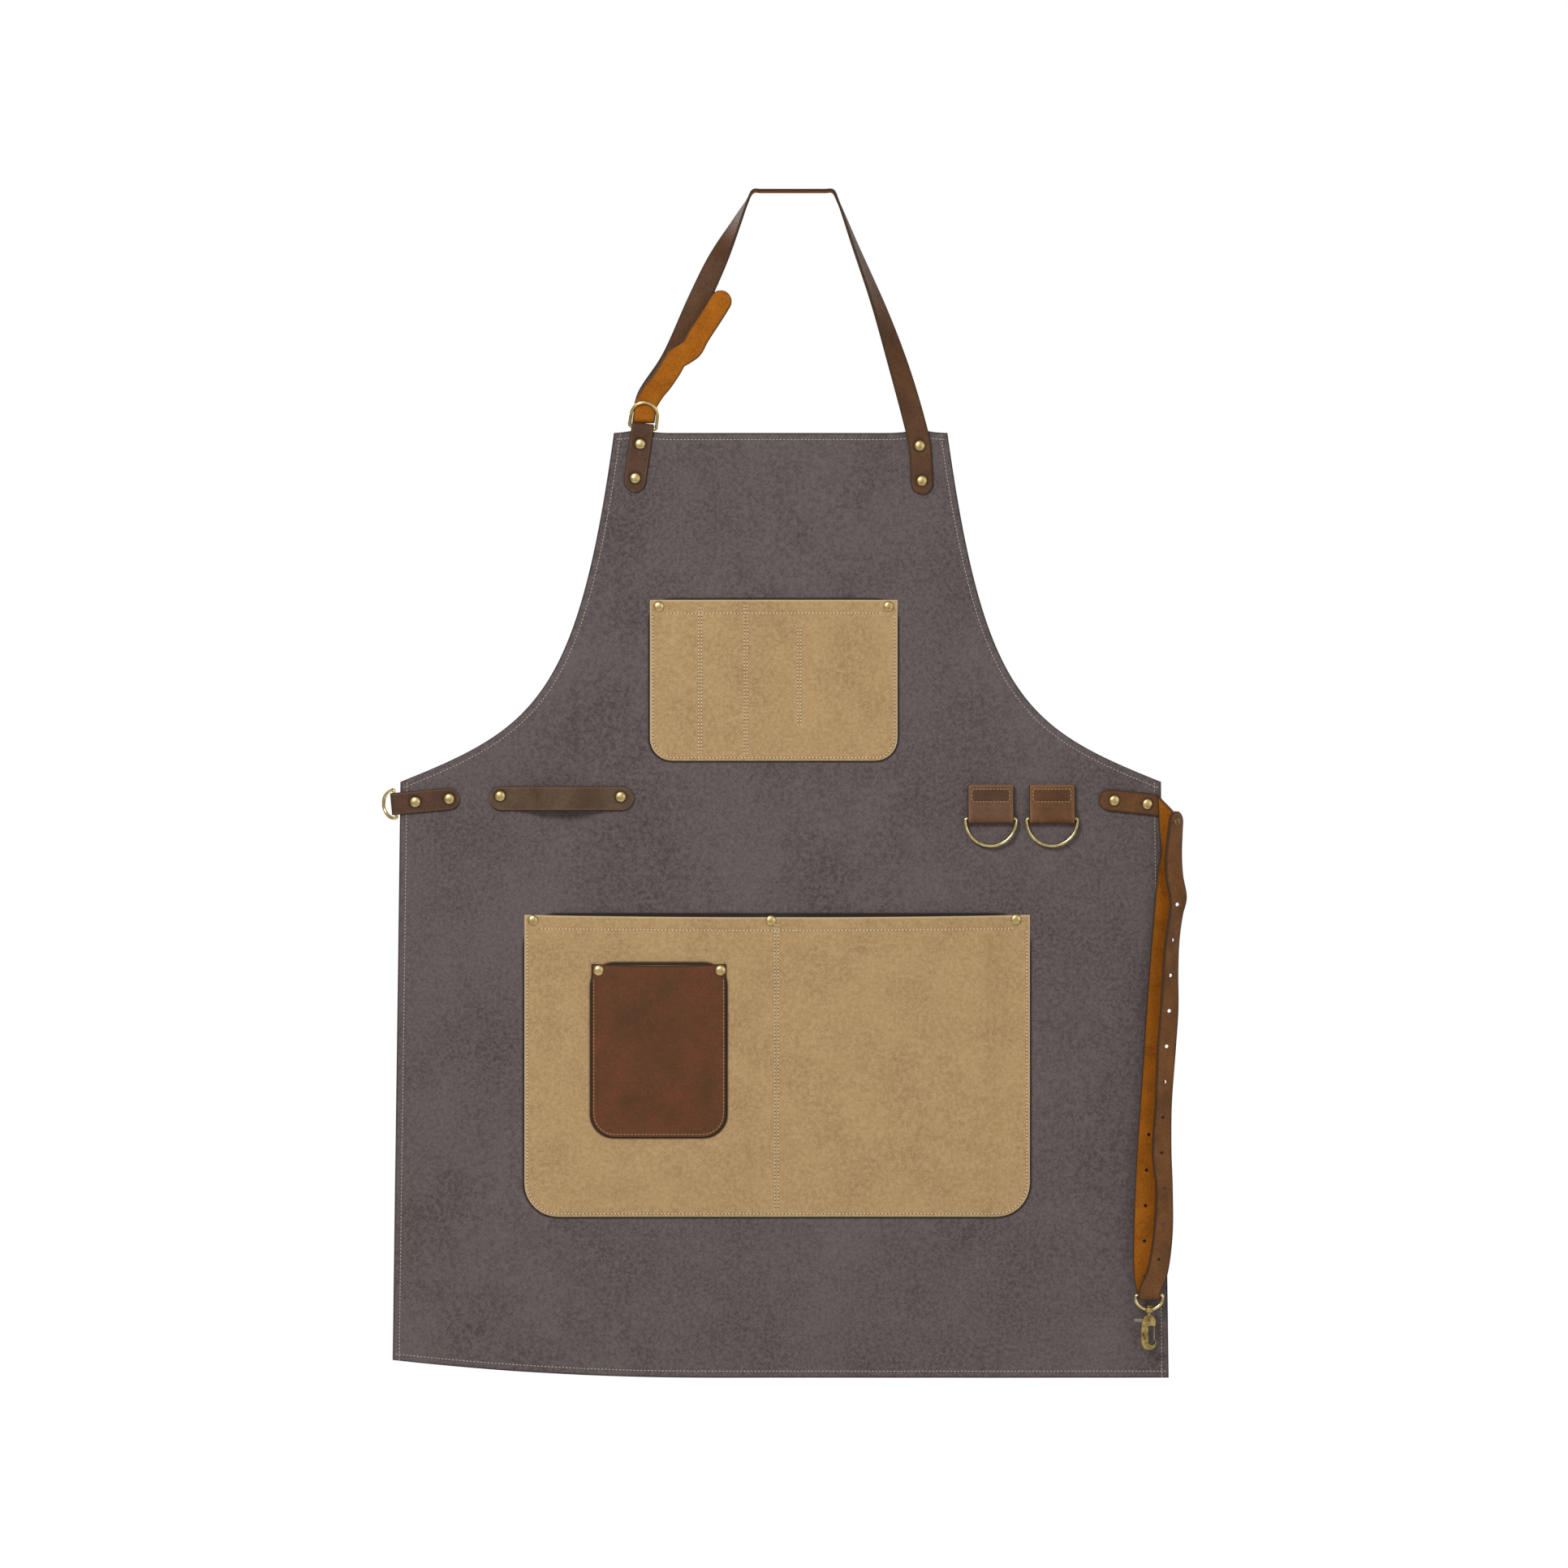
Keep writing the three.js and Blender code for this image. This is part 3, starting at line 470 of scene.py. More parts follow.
def sew(name, rows, pitch, width, material):
    """Rows of stitches through points [x, y, z] in millimetres. One stitch is modelled, a thread end that
    sinks at both ends, and repeated along each row. A dark disc of painted shade, for a needle hole, lies
    between one stitch and the next."""
    start_clean()
    bpy.ops.mesh.primitive_uv_sphere_add(segments=6, ring_count=4, radius=0.5)
    stitch = bpy.context.object
    shape = np.array([vertex.co for vertex in stitch.data.vertices])
    faces = [tuple(face.vertices) for face in stitch.data.polygons]
    bpy.data.objects.remove(stitch)
    bpy.ops.mesh.primitive_circle_add(
        vertices=6, radius=0.5, fill_type="NGON", rotation=(math.pi / 2, 0, 0))
    hole = bpy.context.object
    bpy.ops.object.transform_apply(rotation=True)
    hole_shape = np.array([vertex.co for vertex in hole.data.vertices])
    bpy.data.objects.remove(hole)
    places, polygons, holes = [], [], []
    for row in rows:
        points = np.array(spaced(row, pitch))
        for start, end in zip(points, points[1:]):
            ahead = (end - start) / np.linalg.norm(end - start)
            out = np.array([0.0, -1.0, 0.0])
            side = np.cross(ahead, out)
            side /= np.linalg.norm(side)
            length = np.linalg.norm(end - start) * 0.8
            axes = np.array([side * width, out * width * 0.75, ahead * length])
            polygons += [tuple(corner + len(places) * len(shape) for corner in face) for face in faces]
            places.append((start + end) / 2 + shape @ axes)
            facing = -1 if start[1] < 1 else 1
            holes.append(start + hole_shape * width * NEEDLE_HOLE + np.array([0, HOLE_LIFT * facing, 0]))
    first_hole = len(places) * len(shape)
    thread_faces = len(polygons)
    polygons += [tuple(first_hole + i * 6 + k for k in range(6)) for i in range(len(holes))]
    mesh = bpy.data.meshes.new(name)
    mesh.from_pydata(np.concatenate(places + holes) * MM, [], polygons)
    mesh.polygons.foreach_set("material_index", [int(i >= thread_faces) for i in range(len(polygons))])
    piece = bpy.data.objects.new(name, mesh)
    bpy.context.scene.collection.objects.link(piece)
    only(piece)
    bpy.ops.object.shade_smooth()
    return settle(piece, name, material, needle_hole)


# Spun polyester sewing thread: two tones that change every few millimetres along the row,
# with a soft sheen and fine twist marks. The twist is 0.3 mm; it is drawn at 0.9 mm.
def sewing_thread(name, pale, deep):
    material, tree = new_material(name)
    place = place_of(tree)
    tone = clouds_of(tree, place, 240.0, 2.0)
    twist = add_node(tree, "ShaderNodeTexWave", {"bands_direction": "DIAGONAL"}, {
        "Vector": place, "Scale": math.pi / (10 * 0.9 * MM), "Distortion": 1.0}).outputs["Fac"]
    finish_surface(tree, mixed(tree, tone, srgb(pale), srgb(deep)), 0.6, twist, 0.4, 0.0001)
    return material


grey_thread = sewing_thread("grey_sewing_thread", "#b5a99f", "#8f837b")
needle_hole = sewing_thread("needle_hole_shade", "#5b4630", "#463524")  # the dark of a hole

hem_line = [(-PANEL_HEM_HALF + 2, PANEL_HEM), (PANEL_HEM_HALF - 2, PANEL_HEM)]
right_armhole = [tuple(point) for point in armhole_line]
right_side = [tuple(point) for point in side_line]
mirrored = [[(-x, z) for x, z in line] for line in (right_armhole, right_side)]
edge_runs = [
    inset_line([(-148, PANEL_TOP), (148, PANEL_TOP)], -PANEL_STITCH_INSET),
    inset_line(right_armhole, -PANEL_STITCH_INSET),
    inset_line(right_side, -PANEL_STITCH_INSET),
    inset_line(mirrored[0], PANEL_STITCH_INSET),
    inset_line(mirrored[1], PANEL_STITCH_INSET),
    inset_line(hem_line, PANEL_STITCH_INSET),
]


def on_panel(points, behind):
    """Points [x, z] of the flat pattern, on the face of the draped canvas."""
    placed = [(x, z + hem_lift(x, z) + peak(x, z)) for x, z in points]
    return [(x, drape(x, z) + behind, z) for x, z in placed]


front_rows = [on_panel(run, -0.1) for run in edge_runs]
back_rows = [on_panel(run, CANVAS + 1.05) for run in edge_runs]
panel_stitches = sew("panel_stitches", front_rows + back_rows, THREAD_PITCH, 1.2, grey_thread)
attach(panel_stitches, "apron")


# Cloth pockets ----------------------------------------------------------------------
# Two patch pockets of a lighter tan canvas, each with a turned and sewn top hem. They are
# riveted at their top corners, sewn 2.6 mm inside their edges and down their dividers.

CLOTH = 1.0
CHEST_CELLS = [(-101, -75.3), (-69.3, -34.4), (-28.4, 13.8), (19.8, 88.5)]
CHEST_DIVIDERS = [(-72.3, -372, -505), (-31.4, -370, -506), (16.8, -392, -480)]
LOWER_CELLS = [(-212, -18), (10, 202)]
LOWER_DIVIDERS = [(-5.2, -655, -916), (-2.2, -655, -916)]
POCKET_FRONT = -1.3
POCKET_STITCH_INSET = 2.6
TOP_HEM = 12.0


def corner_inset(edges, z):
    """How far a pocket's side lies inside its edge at a height, in its round corner."""
    above = edges["bottom"] + edges["radius"] - z
    return 0 if above <= 0 else edges["radius"] - math.sqrt(max(edges["radius"] ** 2 - above**2, 0))


def pocket_lines(edges, gap):
    """A pocket's lines: shares and insets across, and heights down into its corners."""
    wide = edges["right"] - edges["left"]
    across = [(0, inset) for inset in EDGE_LINES[:3]] \
        + [(share, 4 * (1 - 2 * share)) for share in np.linspace(0, 1, int(wide / gap))] \
        + [(1, -inset) for inset in reversed(EDGE_LINES[:3])]
    corner = edges["bottom"] + edges["radius"]
    hem_insets = (0, 0.7, 2, 6, TOP_HEM - 1.2, TOP_HEM, TOP_HEM + 1.2, TOP_HEM + 4)
    hem = [edges["top"] - inset for inset in hem_insets]
    middle = [z[0] for z in spaced([(hem[-1] - gap,), (corner + gap,)], gap)]
    steps = [math.radians(angle) for angle in (0, 12, 24, 36, 48, 60, 70, 78, 84, 90)]
    return across, hem + middle + [corner - edges["radius"] * math.sin(step) for step in steps]


def bulge(edges, cells, room, x, z):
    """How far a cell between two sewn lines stands off, which is nothing at its borders."""
    inside = max(min(x - left, right - x) for left, right in cells)
    reach = min(26, min(right - left for left, right in cells) / 2 + 6)
    return room * smooth((inside + 3) / reach) * smooth((z - edges["bottom"] - 6) / 42)


def pocket_face(edges, cells, front, room, x, z):
    """Where the face of a pocket lies, in front of the panel's own drape."""
    lift = bulge(edges, cells, room, x, z)
    crease = 0.5 * noise.noise(Vector((x / 26, z / 34, 2.7))) * smooth(lift / 0.8)
    hem = edges["hem"] * smooth((z - edges["top"] + TOP_HEM) / 1.4)
    groove = 0.6 * edges["hem"] * math.exp(-((edges["top"] - TOP_HEM - z) / 1.1) ** 2)
    return drape(x, z) + front - lift - hem * min(1, lift) + groove + crease


def top_dip(edges, x, z):
    """How far an open top edge sags between its fixings."""
    middle = (edges["left"] + edges["right"]) / 2
    half = (edges["right"] - edges["left"]) / 2
    return edges["dip"] * (1 - ((x - middle) / half) ** 2) * smooth((z - edges["top"] + 60) / 60)


def patch_pocket(name, edges, cells, front, room, thickness, material, gap=4.0):
    """A pocket on the panel, with a rolled edge all round."""
    across, down = pocket_lines(edges, gap)

    def put(column, z):
        share, inset = column
        side = corner_inset(edges, z)
        wide = edges["right"] - edges["left"] - 2 * side
        x = edges["left"] + side + share * wide + inset * min(1, wide / 40)
        height = z - top_dip(edges, x, z)
        from_sides = abs(inset) if share in (0, 1) else TURNED_EDGE
        roll = EDGE_ROLL.get(round(min(from_sides, edges["top"] - z), 3), 0)
        return Vector((x, pocket_face(edges, cells, front, room, x, z) + roll * 0.6, height)) * MM

    return cloth(name, across, down, put, thickness, material)


def pocket_border(edges, inset):
    """The line inside a pocket's sides and bottom, round its corners, from top to top."""
    left, right = edges["left"] + inset, edges["right"] - inset
    bottom, radius = edges["bottom"] + inset, edges["radius"] - inset
    line = [(left, edges["top"] - 14)]
    for middle, start in ((left + radius, 180), (right - radius, 270)):
        for step in range(7):
            angle = math.radians(start + 15 * step)
            line.append((middle + radius * math.cos(angle), bottom + radius + radius * math.sin(angle)))
    return [*line, (right, edges["top"] - 14)]


def on_pocket(edges, cells, front, room, points):
    """Points [x, z] as places on the face of a pocket."""
    placed = [(x, z) for x, z in spaced(points, 2.5)]
    return [(x, pocket_face(edges, cells, front, room, x, z) - 0.1, z - top_dip(edges, x, z))
            for x, z in placed]


# Dry waxed cotton canvas in tan: the same plain weave, sun-faded in cloudy patches, with paler folds and
# edges, and a painted shadow round the leather pocket. The weave is drawn at 1.5 mm.
tan_canvas = woven("tan_cotton_canvas", "#ac8b5f", "#c0a377", "#9c7c56", 1.5, 45, "#d0b48a", 0.86,
                   crease_share=0.55, painted_shadow_round=[HIDE])
tan_thread = sewing_thread("tan_sewing_thread", "#e6d2ae", "#cdb488")

chest_room, lower_room = 1.3, 4.4
DIVIDER_ROWS = {"chest_pocket": (-1.3, 1.3), "lower_pocket": (0.0,)}
chest_pocket = patch_pocket(
    "chest_pocket_cloth", CHEST, CHEST_CELLS, POCKET_FRONT, chest_room, CLOTH, tan_canvas, 3.2)
lower_pocket = patch_pocket(
    "lower_pocket_cloth", LOWER, LOWER_CELLS, POCKET_FRONT, lower_room, CLOTH, tan_canvas, 4.2)

for edges, cells, dividers, room, piece, node in (
    (CHEST, CHEST_CELLS, CHEST_DIVIDERS, chest_room, chest_pocket, "chest_pocket"),
    (LOWER, LOWER_CELLS, LOWER_DIVIDERS, lower_room, lower_pocket, "lower_pocket"),
):
    hem_height = edges["top"] - TOP_HEM
    lines = [pocket_border(edges, POCKET_STITCH_INSET)]
    lines.append([(edges["left"] + 14, hem_height), (edges["right"] - 14, hem_height)])
    lines += [[(x + to_side, top), (x + to_side, bottom)]
              for x, top, bottom in dividers for to_side in DIVIDER_ROWS[node]]
    rows = [on_pocket(edges, cells, POCKET_FRONT, room, line) for line in lines]
    stitches = sew(f"{node}_stitches", rows, THREAD_PITCH, 1.25, tan_thread)
    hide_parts(node)
    for part in (piece, stitches):
        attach(part, "apron")


# Leather pocket ---------------------------------------------------------------------
# A smaller patch pocket of 2 mm oiled leather, sewn and riveted on the left half of the
# lower pocket. Its cut edge is dark, and its face is clouded by the oil.

POCKET_LEATHER = 2.0
HIDE_CELLS = [(-156, -62)]
HIDE_FRONT = -8.0
HIDE_ROOM = 3.0
HIDE_STITCH_INSET = 2.3


# Oiled full-grain cow leather, drum dyed brown and waxed by hand: fine pores and creases, clouds where the
# oil has moved, a rim of another shade, and painted shade in rings round its rivets where they press it
# in.
# Pores are 0.3 mm apart; they are drawn at 1.1 mm so that they show.
def oiled_leather(name, main, pale, deep, rim, roughness):
    material, tree = new_material(name)
    place = place_of(tree)
    cloud = ranged(tree, clouds_of(tree, place, 42.0, 5.0, 0.6), 0.34, 0.66)
    pores = add_node(tree, "ShaderNodeTexVoronoi", {"feature": "DISTANCE_TO_EDGE"}, {
        "Vector": place, "Scale": 1000 / 1.1}).outputs["Distance"]
    grain = clouds_of(tree, place, 520.0, 4.0, 0.65)
    ground = mixed(tree, cloud, srgb(main), srgb(pale))
    grained = mixed(tree, ranged(tree, grain, 0.42, 0.72, 0.0, 0.55), ground, srgb(deep))
    rimmed = mixed(tree, attribute_of(tree, "edge"), grained, srgb(rim))
    # Darker where the pressed attribute says: painted shade round rivets, and a plain darkening in the
    # tool tabs' sewn boxes and on the waist strap's riveted end.
    colour = mixed(tree, attribute_of(tree, "pressed"), rimmed, srgb("#2a1a10"))
    relief = worked_out(tree, "MULTIPLY_ADD", grain, 1.3, ranged(tree, pores, 0.0, 0.25))
    gloss = ranged(tree, grain, 0.0, 1.0, roughness - 0.08, roughness + 0.12)
    shader = finish_surface(tree, colour, gloss, relief, 0.35, 0.00025)
    feed(tree, shader, "Specular IOR Level", 0.16)
    return material


pocket_hide = oiled_leather("oiled_pocket_leather", "#5a3a22", "#6f3f28", "#43290f", "#2c1b12", 0.52)
leather_thread = sewing_thread("waxed_brown_thread", "#c09a6c", "#96724a")

leather_pocket = patch_pocket(
    "leather_pocket_hide", HIDE, HIDE_CELLS, HIDE_FRONT, HIDE_ROOM, POCKET_LEATHER, pocket_hide, 3.0)
hide_border = pocket_border(HIDE, HIDE_STITCH_INSET)
hide_rows = [on_pocket(HIDE, HIDE_CELLS, HIDE_FRONT, HIDE_ROOM, hide_border)]
hide_stitches = sew("leather_pocket_stitches", hide_rows, THREAD_PITCH, 0.85, leather_thread)
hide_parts("leather_pocket")
for part in (leather_pocket, hide_stitches):
    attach(part, "apron")


# Leather tabs and towel loop --------------------------------------------------------
# 20 mm straps of 2.4 mm oiled leather, cut with half round ends, their edges rubbed
# smooth. The neck and waist tabs fold over the canvas and round their rings.

LEATHER = 2.4
STRAP_WIDTH = 20.0
GAP = 0.3
LAID = -(GAP + LEATHER / 2)  # the middle of a strap that lies on the panel
BEHIND = CANVAS - LAID
EDGE_ROUND = 0.8
RIVET_PRESS = 0.5  # how deep a rivet presses the leather round its cap
RIVET_CAP = 4.75
PRESS_SHADE = 0.75  # how much of the dark colour pressed leather takes: painted shade round rivets


def smooth_path(stations):
    """Many points [x, y, z, turn] of the smooth path through the stations."""
    knots = [np.array(station, float) for station in stations]
    knots = [2 * knots[0] - knots[1], *knots, 2 * knots[-1] - knots[-2]]
    points = []
    for a, b, c, d in zip(knots, knots[1:], knots[2:], knots[3:]):
        before, span, after = (max(np.linalg.norm((end - start)[:3]) ** 0.5, 1e-6)
                               for start, end in ((a, b), (b, c), (c, d)))
        leave = ((b - a) / before - (c - a) / (before + span) + (c - b) / span) * span
        arrive = ((c - b) / span - (d - b) / (span + after) + (d - c) / after) * span
        for t in np.linspace(0, 1, 16, endpoint=False):
            points.append((2 * t**3 - 3 * t**2 + 1) * b + (t**3 - 2 * t**2 + t) * leave
                          + (3 * t**2 - 2 * t**3) * c + (t**3 - t**2) * arrive)
    return np.array([*points, knots[-2]])


def follow(stations):
    """How a strap is laid along stations: the place and the outward direction of a point
    some way along it and some way across it. Also the strap's length."""
    path = smooth_path(stations)
    lengths = np.concatenate([[0], np.cumsum(np.linalg.norm(np.diff(path[:, :3], axis=0), axis=1))])

    def at(distance):
        return np.array([np.interp(distance, lengths, path[:, k]) for k in range(4)])

    def lay(distance, sideways):
        here = at(distance)
        ahead = at(min(distance + 0.4, lengths[-1])) - at(max(distance - 0.4, 0))
        along = ahead[:3] / np.linalg.norm(ahead[:3])
        turn = math.radians(here[3])
        side = np.array([math.cos(turn), math.sin(turn), 0.0])
        side -= along * side.dot(along)
        side /= np.linalg.norm(side)
        return here[:3] + side * sideways, np.cross(side, along)

    return lay, lengths[-1]


def strap_section(half):
    """The points [sideways, out] of a strap's section, with its face for a point's side:
    0 for the grain, 1 for the flesh side and 2 for the edges."""
    flat = half - EDGE_ROUND
    thick = LEATHER / 2
    grain = [(flat * share, thick, 0) for share in np.linspace(-1, 1, 13)]
    right = [(half - 0.2, thick - 0.3, 2), (half, 0, 2), (half - 0.2, 0.3 - thick, 2)]
    flesh = [(flat * share, -thick, 1) for share in np.linspace(1, -1, 13)]
    left = [(0.2 - half, 0.3 - thick, 2), (-half, 0, 2), (0.2 - half, thick - 0.3, 2)]
    return grain + right + flesh + left


def round_rivets(rivets):
    """How hard the leather is pressed, from 0 to 1, near rivets [x, z]."""
    def press(x, z):
        near = min(math.hypot(x - rivet_x, z - rivet_z) for rivet_x, rivet_z in rivets)
        return 1 - smooth((near - RIVET_CAP) / 2.6)
    return press


def strap(name, lay, length, materials, width=STRAP_WIDTH, round_ends=(True, True),
          press=lambda x, z: 0, place=Matrix(), gap=2.0):
    """A strap laid by a function: grain and flesh sides, rounded edges, half round or square ends, pressed
    in and painted darker where press says. Its UV map is in metres along and across."""
    radius = width / 2
    turns = np.radians([9, 18, 30, 42, 54, 66, 78, 90])
    marks = {0.0: 0.93, 0.5: 1.0}
    if round_ends[0]:
        marks = {radius * (1 - math.cos(turn)): math.sin(turn) for turn in turns}
    ending = {length: 0.93, length - 0.5: 1.0}
    if round_ends[1]:
        ending = {length - radius * (1 - math.cos(turn)): math.sin(turn) for turn in turns}
    inner = [m[0] for m in spaced([(max(marks) + gap,), (min(ending) - gap,)], gap)]
    shares = {**marks, **{mark: 1.0 for mark in inner}, **ending}
    rows = sorted(shares)
    ring = len(strap_section(radius))
    points, across_uv, edge_values, press_values = [], [], [], []
    for mark in rows:
        for sideways, out, side in strap_section(radius * shares[mark]):
            spot, outward = lay(mark, sideways)
            pressed = press(spot[0], spot[2]) if side == 0 else 0
            points.append((spot + outward * (out - RIVET_PRESS * pressed)) * MM)
            across_uv.append(sideways * MM)
            inside = min(radius * shares[mark] - abs(sideways), mark, length - mark)
            edge_values.append(1.0 if side == 2 else 0.8 * (1 - smooth((inside - 0.6) / 1.4)))
            press_values.append(PRESS_SHADE * pressed)
    faces, finishes = [], []
    sides = [side for _, _, side in strap_section(radius)]
    for row in range(len(rows) - 1):
        for k in range(ring):
            after = (k + 1) % ring
            this, following = row * ring, (row + 1) * ring
            faces.append((this + k, this + after, following + after, following + k))
            finishes.append(sides[k] if sides[k] == sides[after] else 2)
    last = (len(rows) - 1) * ring
    faces += [tuple(range(ring))[::-1], tuple(last + k for k in range(ring))]
    finishes += [2, 2]
    mesh = bpy.data.meshes.new(name)
    mesh.from_pydata(points, [], faces)
    mesh.polygons.foreach_set("material_index", finishes)
    edge = mesh.attributes.new("edge", "FLOAT", "POINT")
    edge.data.foreach_set("value", edge_values)
    pressing = mesh.attributes.new("pressed", "FLOAT", "POINT")
    pressing.data.foreach_set("value", press_values)
    layer = mesh.uv_layers.new(name="strap")
    for loop in mesh.loops:
        row = loop.vertex_index // ring
        layer.data[loop.index].uv = (across_uv[loop.vertex_index], rows[row] * MM)
    mesh.transform(place)
    piece = bpy.data.objects.new(name, mesh)
    bpy.context.scene.collection.objects.link(piece)
    only(piece)
    bpy.ops.object.mode_set(mode="EDIT")
    bpy.ops.mesh.select_all(action="SELECT")
    bpy.ops.mesh.normals_make_consistent(inside=False)
    bpy.ops.object.mode_set(mode="OBJECT")
    bpy.ops.object.shade_smooth_by_angle(angle=math.radians(60))
    return settle(piece, name, *materials)


# The flesh side of oiled leather, which is never finished: a dry orange-brown nap with
# loose fibres and a cloudy colour. Fibres are 0.1 mm thick; clumps are drawn at 1.5 mm.
def suede(name, main, pale, deep):
    material, tree = new_material(name)
    along = add_node(tree, "ShaderNodeUVMap", {"uv_map": "strap"}).outputs[0]
    drawn_out = add_node(tree, "ShaderNodeMapping", feeds={
        "Vector": along, "Scale": (1.0, 0.55, 1.0)}).outputs[0]
    nap = clouds_of(tree, drawn_out, 650.0, 5.0, 0.7)
    cloud = ranged(tree, clouds_of(tree, along, 55.0, 4.0, 0.6), 0.34, 0.66)
    ground = mixed(tree, cloud, srgb(main), srgb(deep))
    napped = mixed(tree, ranged(tree, nap, 0.38, 0.7, 0.0, 0.6), ground, srgb(pale))
    near_edge = worked_out(tree, "MULTIPLY", attribute_of(tree, "edge"), 0.5)
    colour = mixed(tree, near_edge, napped, srgb("#4a2c14"))
    shader = finish_surface(tree, colour, 0.92, nap, 0.6, 0.0004)
    feed(tree, shader, "Specular IOR Level", 0.08)
    return material


flesh_side = suede("leather_flesh_side", "#9a5a16", "#b8711f", "#7c4513")
tab_leather = oiled_leather("oiled_tab_leather", "#4e3527", "#5f422f", "#39251b", "#6a4e36", 0.5)
rubbed_edge = oiled_leather("rubbed_leather_edge", "#4a3022", "#5f4029", "#2c1c14", "#44301f", 0.42)
tab_finishes = (tab_leather, flesh_side, rubbed_edge)


def leaning(x, z, lean):
    """A frame on the panel whose Z axis leans by an angle in degrees from straight up."""
    return Matrix.Translation((x * MM, 0, z * MM)) @ Matrix.Rotation(math.radians(lean), 4, "Y")


def ring_tab(name, node, x, z, lean, bar, end, spacing, rivet_spacing, wire=1.4):
    """A tab from its front end up round its rings' bars, spacing apart, and down behind."""
    loop = wire + GAP + LEATHER / 2
    front, back = (CANVAS - spacing) / 2, (CANVAS + spacing) / 2
    rounds = [(front + loop * math.cos(math.radians(a)), bar + loop * math.sin(math.radians(a)))
              for a in (180, 150, 120, 90)]
    rounds += [(back + loop * math.cos(math.radians(a)), bar + loop * math.sin(math.radians(a)))
               for a in (90, 60, 30, 0)]
    section = [(LAID, -end), (LAID, 6), (LAID, bar - 14), (LAID - 0.3, bar - 9.5), *rounds]
    section += [(BEHIND + 0.3, bar - 9.5), (BEHIND, bar - 14), (BEHIND, 6), (BEHIND, -end)]
    lay, length = follow([(0, y, height, 0) for y, height in section])
    piece = strap(name, lay, length, tab_finishes, press=round_rivets([(0, 0), (0, rivet_spacing)]),
                  place=leaning(x, z, lean), gap=1.4)
    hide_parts(node)
    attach(piece, "apron")


NECK_TAB = {"x": -130.7, "z": -257.0, "lean": 8.2, "bar": 46.0, "rivet_spacing": 31.0}
WAIST_TAB = {"x": -298.0, "z": -545.3, "lean": -95.4, "bar": 48.7, "rivet_spacing": 30.6}
ring_tab("neck_tab_leather", "neck_tab", **NECK_TAB, end=12.5, spacing=3.1)
ring_tab("waist_tab_leather", "waist_tab", **WAIST_TAB, end=9.5, spacing=0.0)

# The towel loop lies flat at both riveted ends and stands off the panel between them.
LOOP_LEFT, LOOP_RIGHT, LOOP_HEIGHT, LOOP_CREST = -262.0, -132.0, -545.0, -12.0
loop_leather = oiled_leather("oiled_loop_leather", "#55402f", "#65503d", "#3f2e22", "#6d543e", 0.5)
loop_reach = LOOP_RIGHT - LOOP_LEFT
lay_loop, loop_length = follow([
    (0, LAID, 0, 0), (0, LAID, 12, 0), (0, LAID, 22, 0), (0, LAID - 3.4, 36, 0),
    (0, LOOP_CREST + 1.2, 49, 0),
    (0, LOOP_CREST, loop_reach / 2 - 2, 0), (0, LOOP_CREST + 1.4, 78, 0), (0, LAID - 3.4, 94, 0),
    (0, LAID, loop_reach - 22, 0), (0, LAID, loop_reach - 12, 0), (0, LAID, loop_reach, 0),
])
towel_loop = strap("towel_loop_leather", lay_loop, loop_length, (loop_leather, flesh_side, rubbed_edge),
                   width=22.0, press=round_rivets([(-2.2, 9.8), (-1.5, 118.2)]),
                   place=leaning(LOOP_LEFT, LOOP_HEIGHT, 90), gap=1.4)
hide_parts("towel_loop")
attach(towel_loop, "apron")

# The tool tabs: 41 mm wide pieces folded in half round their rings and sewn on with two
# rows of stitches through both runs.
TOOL_TABS = {"left": 188.8, "right": 243.9}
TOOL_TOP, TOOL_BAR_Y, TOOL_BAR_Z, TOOL_WIDTH = -533.0, -4.6, -563.0, 41.4
tool_colours = {
    "left": ("#634532", "#73523b", "#4b3325"),
    "right": ("#634228", "#7a5231", "#4a2f1d"),
}
front_run = LAID - LEATHER - GAP
BOX_HALF, BOX_TOP, BOX_BOTTOM = 17.6, -536.0, -549.0
BOX_EDGE, BOX_PRESS = 1.6, 0.55


def sewn_box(x, z):
    """How hard the box of stitches presses a tool tab."""
    across = smooth((BOX_HALF - abs(x)) / BOX_EDGE)
    return BOX_PRESS * across * smooth((z - BOX_BOTTOM) / BOX_EDGE) * smooth((BOX_TOP - z) / BOX_EDGE)


for side, x in TOOL_TABS.items():
    main, pale, deep = tool_colours[side]
    tool_leather = oiled_leather(f"oiled_tool_tab_leather_{side}", main, pale, deep, "#86623f", 0.48)
    turns = [(TOOL_BAR_Y + 3.1 * math.cos(math.radians(a)), TOOL_BAR_Z + 3.1 * math.sin(math.radians(a)))
             for a in (0, -30, -60, -90, -120, -150, -180)]
    section = [(LAID, TOOL_TOP), (LAID, -548), (LAID, -559), *turns, (-6.6, -557.5), (front_run, -552)]
    section += [(front_run, -544), (front_run, TOOL_TOP)]
    lay_tab, tab_length = follow([(0, y, z, 0) for y, z in section])
    tab = strap(f"tool_tab_{side}_leather", lay_tab, tab_length, (tool_leather, flesh_side, rubbed_edge),
                width=TOOL_WIDTH, round_ends=(False, False), press=sewn_box,
                place=Matrix.Translation((x * MM, 0, 0)), gap=1.4)
    face = front_run - LEATHER / 2 + 0.15
    rows = [[(x - 17, face, z), (x + 17, face, z)] for z in (-536.6, -548.0)]
    rows += [[(x + end, face, -537), (x + end, face, -547.6)] for end in (-17, 17)]
    box_stitches = sew(f"tool_tab_{side}_stitches", rows, THREAD_PITCH, 0.95, leather_thread)
    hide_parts(f"tool_tab_{side}")
    for part in (tab, box_stitches):
        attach(part, "apron")


# Rings ------------------------------------------------------------------------------
# D-rings of 2.8 mm brass wire, drawn 3.1 mm thick, bent round a former and butted in the
# middle of their straight bars: two at the neck, one at the waist, two wide ones for tools.

DRAWN_WIRE = 1.55  # the radius that the wire is drawn at

